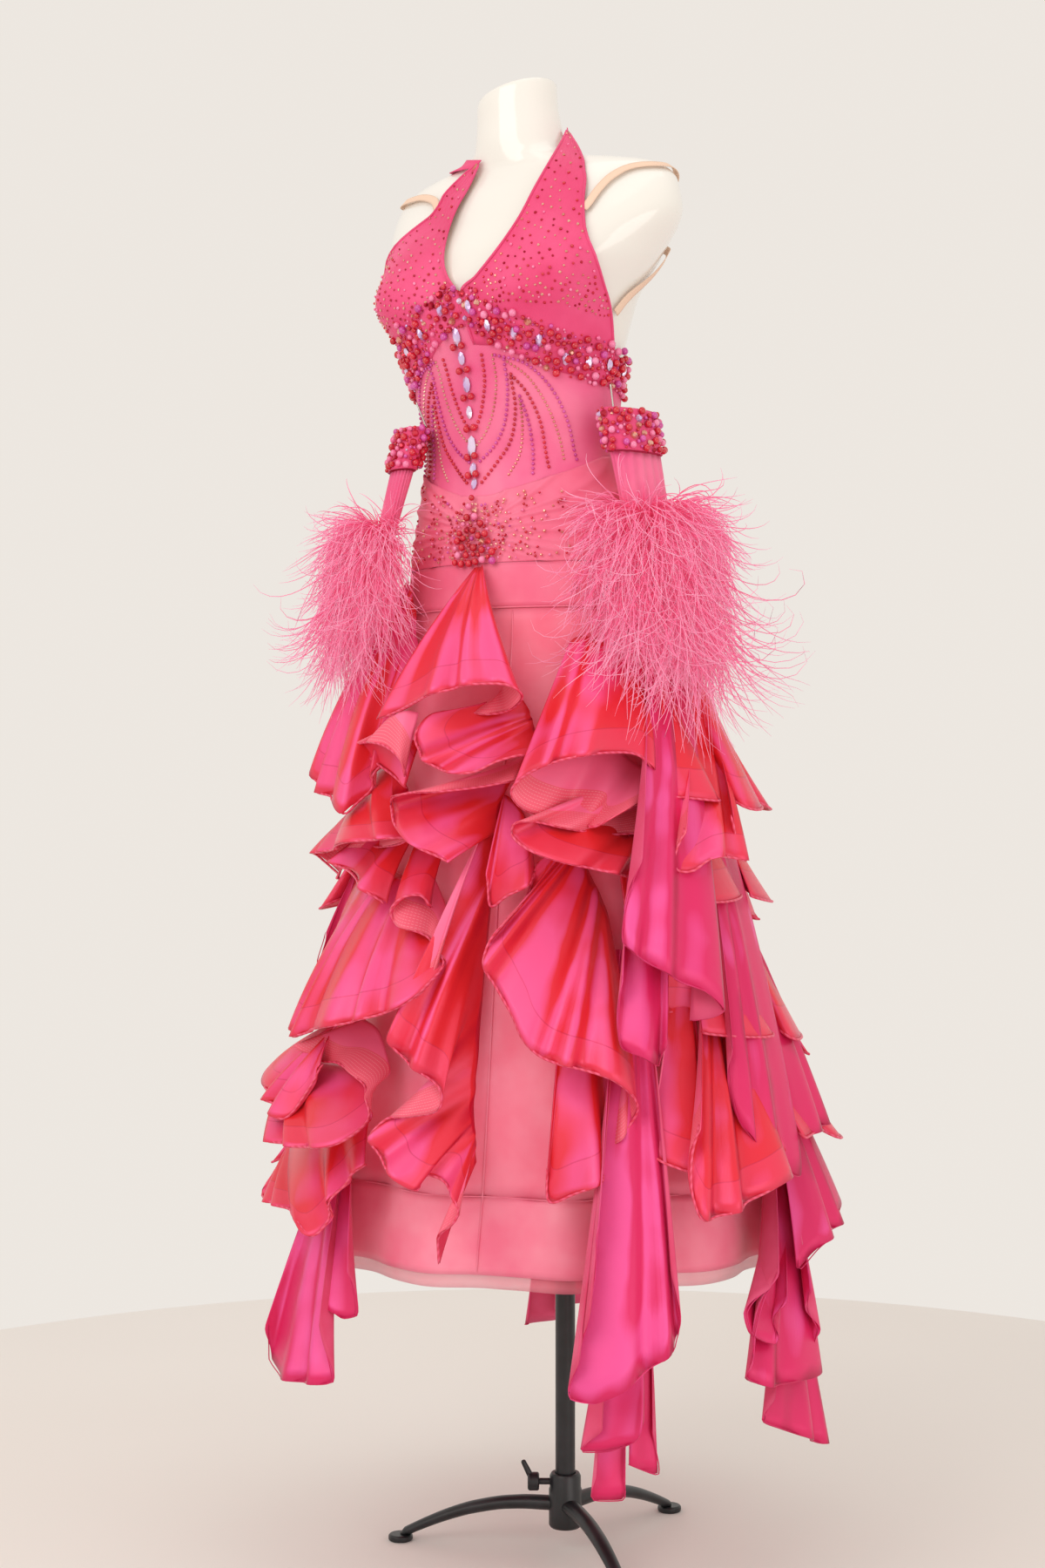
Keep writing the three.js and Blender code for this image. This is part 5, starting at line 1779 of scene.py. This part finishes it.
# ------------------------------------------------------------------ detachable sleeves
@dataclass
class Sleeve:
    """A gauntlet pinned at the waist: beaded band, sheer tube and ostrich puff."""

    side: str
    turn: float
    clear: float
    band_top: float
    sleeve_low: float
    wide: float
    deep: float
    lean: float
    puff_top: float
    reach: float
    strands: int
    seed: int

    def __post_init__(self) -> None:
        """Work out the directions and start the seeded numbers."""
        a = math.radians(self.turn)
        self.out = np.array([math.sin(a), -math.cos(a), 0.0])
        self.across = np.array([math.cos(a), math.sin(a), 0.0])
        self.random = np.random.default_rng(self.seed)

    def axis(self, z: Array) -> Array:
        """Centre line of the sleeve.

        Args:
            z: heights.

        Returns:
            One point for each height.
        """
        z = np.asarray(z, float)
        start = GOWN.point(np.array([self.turn]), np.array([self.band_top - 60]),
                           np.array([self.clear]))[0]
        lean = self.lean * (self.band_top - z) / (self.band_top - self.sleeve_low)
        return (np.stack([np.full(z.shape, start[0]), np.full(z.shape, start[1]), z], -1)
                + lean[..., None] * self.out)

    def ring(self, z: Array, share: Array, grow: Array = 0.0) -> Array:
        """Points round the sleeve.

        Args:
            z: heights.
            share: share of the way round, 0 to 1.
            grow: distance outside the plain sleeve.

        Returns:
            One row of x, y, z for each point.
        """
        z, share, grow = np.broadcast_arrays(*(np.asarray(v, float) for v in (z, share, grow)))
        angle = 2 * np.pi * share
        return (self.axis(z) + ((self.wide + grow) * np.cos(angle))[..., None] * self.across
                + ((self.deep + grow) * np.sin(angle))[..., None] * self.out)

    def build(self) -> None:
        """Make band, tube, puff and pin."""
        band_low = self.band_top - 50
        round_mm = math.pi * (self.wide + self.deep) * 1.1
        self.cloth("band", self.band_top, band_low, lambda t: 2.0 + 0 * t, Finish.STRETCH,
                   round_mm, "beads", 0.0)
        self.cloth("tube", band_low - 2, self.sleeve_low, lambda t: -2.0 - 5 * t, Finish.SHEER,
                   round_mm, "sheer_mesh", 1.1)
        self.beads(band_low)
        self.puff()
        waist = GOWN.point(np.array([self.turn]), np.array([self.band_top + 34.0]),
                           np.array([12.0]))[0]
        band = self.ring(np.array([self.band_top + 3.0]), np.array([0.75]),
                         np.array([2.0]))[0]
        path = waist + (band - waist) * np.linspace(0, 1, 24)[:, None]
        finished(f"sleeve_pin_{self.side}_wire", tube_mesh(path, 1.1, 8), [Finish.STEEL],
                 "dressed_form", [f"sleeve_pin_{self.side}"], "pin_steel")

    def cloth(self, part: str, top: float, low: float, grow: Callable, finish: Finish,
              width: float, slot: str, ruche: float) -> None:
        """Make one ring of cloth of the sleeve.

        Args:
            part: band or tube.
            top: height of its upper edge.
            low: height of its lower edge.
            grow: distance outside the plain sleeve, for shares of the way down.
            finish: its finish.
            width: flat width in millimetres.
            slot: the record's material slot.
            ruche: height of its gathers in millimetres.
        """
        def place(s: Array, t: Array) -> Array:
            """Points of the ring, with upright gathers where it is ruched."""
            folds = ruche * np.sin(2 * np.pi * s * 17 + 2.2 * np.sin(6 * s + 3 * t))
            return self.ring(top + (low - top) * t, s, grow(t) + folds)

        mesh = grid_mesh([(110, 16, place, lambda s, t: np.stack(
            [s * width * MM, t * (top - low) * MM], -1))], closed=True, outward=False)
        bm = bmesh.new()
        bm.from_mesh(mesh)
        face = bm.faces[:][0]
        face.normal_update()
        middle = np.array(face.calc_center_median()) / MM - OFFSET
        if np.dot(face.normal, middle - self.axis(np.array([middle[2]]))[0]) < 0:
            bmesh.ops.reverse_faces(bm, faces=bm.faces[:])
        bm.to_mesh(mesh)
        bm.free()
        node = f"sleeve_{part}_{self.side}"
        piece = finished(f"{node}_cloth", mesh, [finish], "dressed_form", [node], slot)
        thicken(piece, 0.9)

    def beads(self, low: float) -> None:
        """Cover the band with pearls and stones.

        Args:
            low: height of the band's lower edge.
        """
        work = BeadWork(self.seed + 5)
        count = 1300
        share = work.random.uniform(0, 1, count)
        z = work.random.uniform(low + 2, self.band_top - 1, count)
        radius = np.sort(1.5 + 3.1 * work.random.uniform(0, 1, count) ** 1.6)[::-1]
        points = self.ring(z, share, 3.2)
        keep = work.spaced(share, z, radius * 2.02, points)
        points, radius = points[keep], radius[keep]
        away = points - self.axis(points[:, 2])
        away /= np.linalg.norm(away, axis=1)[:, None]
        kind = work.random.choice(6, len(points), p=[0.45, 0.22, 0.13, 0.06, 0.09, 0.05])
        groups = []
        for mark in range(6):
            pick = kind == mark
            size = np.repeat(radius[pick][:, None], 3, 1)
            groups.append((points[pick] + away[pick] * (radius[pick] * 0.5)[:, None], size,
                           away[pick] if mark >= 3 else None, mark))
        mesh = beads_mesh(f"sleeve_band_{self.side}_beads", groups)
        finished(f"sleeve_band_{self.side}_beads", mesh, work.finishes, "dressed_form",
                 slot="beads")

    def puff(self) -> None:
        """Make the ostrich barbs: a dense inner layer and long loose barbs over it."""
        layers = (("core", 0.46, 0.8, 0.012), ("loose", 0.95, 1.0, 0.02))
        for number, (name, low, high, curl) in enumerate(layers):
            line = self.barbs(self.strands, (low, high), curl)
            mesh = self.barb_mesh(line)
            nodes = [] if number else [f"feather_puff_{self.side}"]
            finished(f"feather_puff_{self.side}_{name}", mesh, [Finish.PLUME], "dressed_form",
                     nodes, "feather")

    def barbs(self, count: int, share: tuple[float, float], curl: float) -> Array:
        """Paths of barbs that leave the backing, arch over, hang and curl at their ends.

        Args:
            count: how many.
            share: shortest and longest, as shares of the puff's reach.
            curl: bend of each barb for a millimetre of its length.

        Returns:
            Points of each barb in millimetres.
        """
        random = self.random
        level = random.uniform(0, 1, count) ** 1.15
        swing = random.uniform(-2.1, 1.75, count)
        cosine, sine = np.cos(swing), np.sin(swing)
        away = cosine[:, None] * self.out + sine[:, None] * self.across
        z = self.puff_top - 14 + (self.sleeve_low - self.puff_top + 30) * level
        root = self.ring(z, np.arctan2(cosine / self.deep, sine / self.wide) / (2 * np.pi), 0.8)
        length = (self.reach * (0.8 + 1.1 * level) * random.uniform(*share, count)
                  * (0.8 + 0.2 * np.maximum(cosine, -0.4)))
        steps = 13
        step = (length / (steps - 1))[:, None]
        rise = (0.6 - 1.75 * level)[:, None] * np.array([0, 0, 1.0])
        heading = away + rise + random.normal(0, 0.27, (count, 3))
        axis = random.normal(0, 1, (count, 3))
        axis /= np.linalg.norm(axis, axis=1)[:, None]
        strength = random.uniform(0.2, 1.0, (count, 1)) * curl
        here, line = root, [root]
        for k in range(1, steps):
            t = k / (steps - 1)
            heading = heading + step * (np.array([0, 0, -0.021])
                                        + np.cross(axis, heading) * strength * (0.5 + 3.2 * t * t))
            heading = heading / np.linalg.norm(heading, axis=1)[:, None]
            here = here + heading * step
            line.append(here)
        points = np.stack(line, 1).reshape(-1, 3)
        return GOWN.keep_out(points, 5.0).reshape(count, steps, 3)

    def barb_mesh(self, line: Array) -> bpy.types.Mesh:
        """One mesh of three-sided tapering barbs, with their length share as an attribute.

        Args:
            line: points of each barb in millimetres.

        Returns:
            The mesh.
        """
        count, steps = line.shape[:2]
        run = np.gradient(line, axis=1)
        side = np.cross(run, [0.31, 0.17, 0.93])
        side /= np.maximum(np.linalg.norm(side, axis=2), 1e-6)[..., None]
        up = np.cross(run, side)
        up /= np.maximum(np.linalg.norm(up, axis=2), 1e-6)[..., None]
        t = np.linspace(0, 1, steps)
        radius = np.interp(t, (0, 0.2, 0.8, 1), (0.55, 0.7, 0.5, 0.13))[None, :, None]
        angles = np.array([0, 2 * np.pi / 3, 4 * np.pi / 3])
        ring = np.stack([line + radius * (side * math.cos(a) + up * math.sin(a))
                         for a in angles], 2)
        start = (np.arange(count)[:, None, None] * steps + np.arange(steps - 1)[None, :, None]) * 3
        here = start + np.arange(3)[None, None, :]
        beside = start + np.array([1, 2, 0])[None, None, :]
        faces = np.stack([here, beside, beside + 3, here + 3], -1).reshape(-1, 4)
        mesh = bpy.data.meshes.new("barbs")
        mesh.vertices.add(count * steps * 3)
        mesh.vertices.foreach_set("co", to_metres(ring.reshape(-1, 3)).ravel())
        mesh.loops.add(faces.size)
        mesh.loops.foreach_set("vertex_index", faces.ravel())
        mesh.polygons.add(len(faces))
        mesh.polygons.foreach_set("loop_start", np.arange(0, faces.size, 4))
        mesh.update(calc_edges=True)
        mesh.shade_smooth()
        # The share runs deeper at the root: partly the barbs' colour, partly painted shade inside
        # the puff.
        tone = np.clip(t[None, :] * 0.8 + self.random.uniform(-0.05, 0.3, (count, 1)), 0, 1)
        attribute = mesh.attributes.new("share", "FLOAT", "POINT")
        attribute.data.foreach_set("value", np.repeat(tone.ravel(), 3))
        return mesh


# ------------------------------------------------------------------ form and stand
@dataclass
class DressForm:
    """Limbless gloss form with rounded shoulder caps and a slanting neck cap."""

    sides: int = 120
    base: float = 985.0
    neck: float = 1745.0
    cap: tuple[float, float] = (1750.0, 1775.0)

    def place(self, s: Array, t: Array) -> Array:
        """Points of the form from its base plate to the middle of the neck cap.

        Args:
            s: share of the way round.
            t: share of the way up.

        Returns:
            One row of x, y, z for each point.
        """
        turn = 360 * s
        z = self.base + (self.neck - self.base) * np.clip((t - 0.06) / 0.84, 0, 1)
        points = BODY.point(turn, z, 0.0)
        sizes = BODY.at(z)
        middle = np.stack([sizes[0], sizes[1], z], -1)
        low = np.clip(t / 0.06, 0, 1)
        high = np.clip((t - 0.9) / 0.1, 0, 1)
        share = np.where(t < 0.06, np.sqrt(np.clip(1 - (1 - low) ** 4, 0, 1)), 1.0)
        share = np.where(high > 0, np.clip(1 - high, 0, 1) ** 0.16, share)
        share = np.where(high >= 1, 0.0, share)
        points = middle + (points - middle) * share[:, None]
        points[:, 2] -= np.where(t < 0.06, 5 * (1 - low) ** 0.5, 0)
        across = (points[:, 0] - BODY.at(np.array([self.neck]))[0][0]) / 50
        lid = self.cap[0] + (self.cap[1] - self.cap[0]) * (across + 1) / 2
        points[:, 2] = np.where(high > 0, self.neck - 1 + (lid - self.neck)
                                * (1 - (1 - np.minimum(high * 4, 1)) ** 2), points[:, 2])
        return points

    def build(self) -> None:
        """Make the form as one closed shell."""
        mesh = grid_mesh([(self.sides, 150, self.place, None)], closed=True)
        finished("form_body_shell", mesh, [Finish.FORM], "dressed_form", ["form_body"],
                 "form_gloss")


@dataclass
class Stand:
    """Pole, hub with a clamp screw, and three curved legs."""

    legs: tuple = ((-202, -37), (136, -154), (66, 187))
    rise: tuple = ((0.04, 56, 11), (0.2, 56, 10.6), (0.35, 54, 10), (0.55, 46, 9.6),
                   (0.7, 36, 9), (0.86, 22, 8), (1.0, 8, 7))

    def plan(self, across: float, toward: float, z: float) -> Array:
        """A point given across and toward the view."""
        return VIEW.right * across + VIEW.back * toward + np.array([0, 0, z])

    def turned(self, name: str, centre: Array, profile: Sequence[tuple[float, float]],
               body: str, nodes: Sequence[str], along: Array | None = None) -> None:
        """Spin a profile of (radius, height) rows about an upright or given axis.

        Args:
            name: the piece's name.
            centre: foot of the axis.
            profile: rows of radius and height.
            body: the CAD body that it moves with.
            nodes: CAD nodes that it stands for.
            along: direction of the axis, upright if None.
        """
        bm = bmesh.new()
        verts = [bm.verts.new((r, 0, z)) for r, z in profile]
        edges = [bm.edges.new(pair) for pair in zip(verts, verts[1:])]
        bmesh.ops.spin(bm, geom=verts + edges, cent=(0, 0, 0), axis=(0, 0, 1),
                       angle=2 * math.pi, steps=48, use_merge=True)
        bmesh.ops.remove_doubles(bm, verts=bm.verts, dist=1e-4)
        bmesh.ops.recalc_face_normals(bm, faces=bm.faces)
        if along is not None:
            w = along / np.linalg.norm(along)
            u = np.cross(w, [0, 0, 1.0])
            u /= np.linalg.norm(u)
            v = np.cross(w, u)
            for vert in bm.verts:
                vert.co = u * vert.co.x + v * vert.co.y + w * vert.co.z
        for vert in bm.verts:
            vert.co = to_metres(np.array(vert.co) + centre)
        for face in bm.faces:
            face.smooth = True
        mesh = bpy.data.meshes.new(name)
        bm.to_mesh(mesh)
        bm.free()
        mesh.shade_smooth()
        piece = finished(name, mesh, [Finish.STAND], body, nodes, "stand_black")
        bevel = piece.modifiers.new("edges", "BEVEL")
        bevel.width, bevel.segments, bevel.limit_method = 0.0008, 2, "ANGLE"
        bevel.harden_normals = True

    def build(self) -> None:
        """Make the pole, the base and the clamp."""
        origin = np.zeros(3)
        self.turned("stand_pole_tube", origin, ((0, 36), (12, 36), (12, 1052), (0, 1052)),
                    "dressed_form", ["stand_pole"])
        self.turned("stand_base_hub", origin,
                    ((0, 28), (18, 28), (20, 31), (20, 74), (19, 76), (19, 90), (17, 94),
                     (12.6, 94), (12.6, 36)), "stand", ["stand_base"])
        for number, (across, toward) in enumerate(self.legs):
            self.leg(number, across, toward)
            self.turned(f"stand_foot{number}", self.plan(across, toward, 0),
                        ((0, 0), (13.5, 0), (15, 1.5), (15, 6), (13, 8), (0, 8)), "stand", [])
        screw = self.plan(-12.8, 0, 83)
        self.turned("stand_clamp_knob", screw,
                    ((0, 0), (3.9, 0), (3.9, 19), (9.5, 19), (11, 20.5), (11, 31), (9, 33),
                     (0, 33)), "clamp", ["stand_clamp"], along=-VIEW.right)
        self.turned("stand_clamp_lever", self.plan(-39, 0, 83),
                    ((0, 0), (4, 0), (3.6, 14), (3, 27), (2, 28.5), (0, 29)), "clamp", [],
                    along=VIEW.right * -0.45 + np.array([0, 0, 0.9]))

    def leg(self, number: int, across: float, toward: float) -> None:
        """Make one curved leg, rounded in section.

        Args:
            number: counts the legs.
            across: place of its foot across the view.
            toward: place of its foot toward the view.
        """
        foot = self.plan(across, toward, 0)
        radial = foot / np.linalg.norm(foot)
        side = np.array([-radial[1], radial[0], 0])
        rows = np.array(self.rise, float)

        def place(s: Array, t: Array) -> Array:
            """Points round the leg."""
            along = 0.04 + 0.96 * t
            values = hermite(rows[:, 0], rows[:, 1:], along, monotone=True)
            angle = 2 * np.pi * s
            close = np.where((t <= 0) | (t >= 1), 0.35, 1.0)
            return (foot * along[:, None] + side * (values[:, 1] * close * np.cos(angle))[:, None]
                    + np.outer(values[:, 0] + values[:, 1] * close * 0.82 * np.sin(angle),
                               [0, 0, 1.0]))

        mesh = grid_mesh([(24, 40, place, None)], closed=True, outward=False)
        bm = bmesh.new()
        bm.from_mesh(mesh)
        bmesh.ops.holes_fill(bm, edges=[e for e in bm.edges if e.is_boundary], sides=24)
        bmesh.ops.recalc_face_normals(bm, faces=bm.faces)
        bm.to_mesh(mesh)
        bm.free()
        finished(f"stand_leg{number}", mesh, [Finish.STAND], "stand", slot="stand_black")


# ------------------------------------------------------------------ studio
@dataclass
class Studio:
    """Pale round floor, soft lights and a pale sky."""

    radius: float = 1500.0

    def build(self) -> None:
        """Make the floor, the lights and the sky."""
        def place(s: Array, t: Array) -> Array:
            """Points of the floor, from its middle to its edge."""
            angle = 2 * np.pi * s
            return np.stack([self.radius * t * np.sin(angle), -self.radius * t * np.cos(angle),
                             0 * t], -1)

        mesh = grid_mesh([(96, 12, place, None)], closed=True, outward=False)
        floor = bpy.data.objects.new("studio_floor", mesh)
        bpy.context.scene.collection.objects.link(floor)
        # Matt backdrop paper: no gloss, very slow changes of tone.
        material, add = new_material("matt_paper_floor")
        cloud = add("TexNoise", {"Vector": add("TexCoord").outputs["Object"], "Scale": 0.8})
        colour = add("ValToRGB", (cloud,), ((0.3, "#E9E4DF"), (0.7, "#EDE9E5")))
        add("OutputMaterial", {"Surface": add("BsdfPrincipled", {"Base Color": colour,
                                                                 "Roughness": 0.9})})
        mesh.materials.append(material)
        self.light("key", (-1900, 2300, 2500), 2200, 31, "#FFFAF5")
        self.light("fill", (1700, 2500, 800), 1800, 17, "#FFF8F4")
        self.light("top", (200, 300, 3400), 1800, 6, "#FFFFFF")
        world = bpy.data.worlds.new("studio_sky")
        world.use_nodes = True
        node = world.node_tree.nodes["Background"]
        node.inputs["Color"].default_value = linear("#F7F1EA")
        node.inputs["Strength"].default_value = 0.91
        bpy.context.scene.world = world
        bpy.context.scene.view_settings.view_transform = "Standard"

    def light(self, name: str, place: tuple[float, float, float], size: float, power: float,
              colour: str) -> None:
        """Hang one soft square light, aimed at the gown's middle.

        Args:
            name: the light's name.
            place: across the view, toward the view and height, in millimetres.
            size: side of the square in millimetres.
            power: in watts.
            colour: sRGB hex value.
        """
        data = bpy.data.lights.new(name, "AREA")
        data.size, data.energy, data.color = size * MM, power, linear(colour)[:3]
        lamp = bpy.data.objects.new(name, data)
        at = VIEW.right * place[0] + VIEW.back * place[1] + np.array([0, 0, place[2]])
        lamp.location = to_metres(at)
        aim = np.array([0, 0, 950.0]) - at
        flat = math.hypot(aim[0], aim[1])
        lamp.rotation_euler = (math.pi / 2 + math.atan2(aim[2], flat), 0,
                               math.atan2(-aim[0], aim[1]))
        bpy.context.scene.collection.objects.link(lamp)


def main() -> None:
    """Build every sub-assembly in order."""
    logging.basicConfig(level=logging.INFO, format="%(name)s: %(message)s")
    VIEW.build()
    Studio().build()
    DressForm().build()
    Stand().build()
    Skirt().build()
    Bodice().build()
    BeadWork().build()
    Straps().build()
    Drapes(FLOUNCES, FLOATS).build()
    Sleeve("left", 78, 33, 1362, 1150, 40, 19, 52, 1256, 128, 1400, 21).build()
    Sleeve("right", -42, 24, 1354, 1156, 27, 14, 52, 1246, 104, 1200, 22).build()


if __name__ == "__main__":
    main()
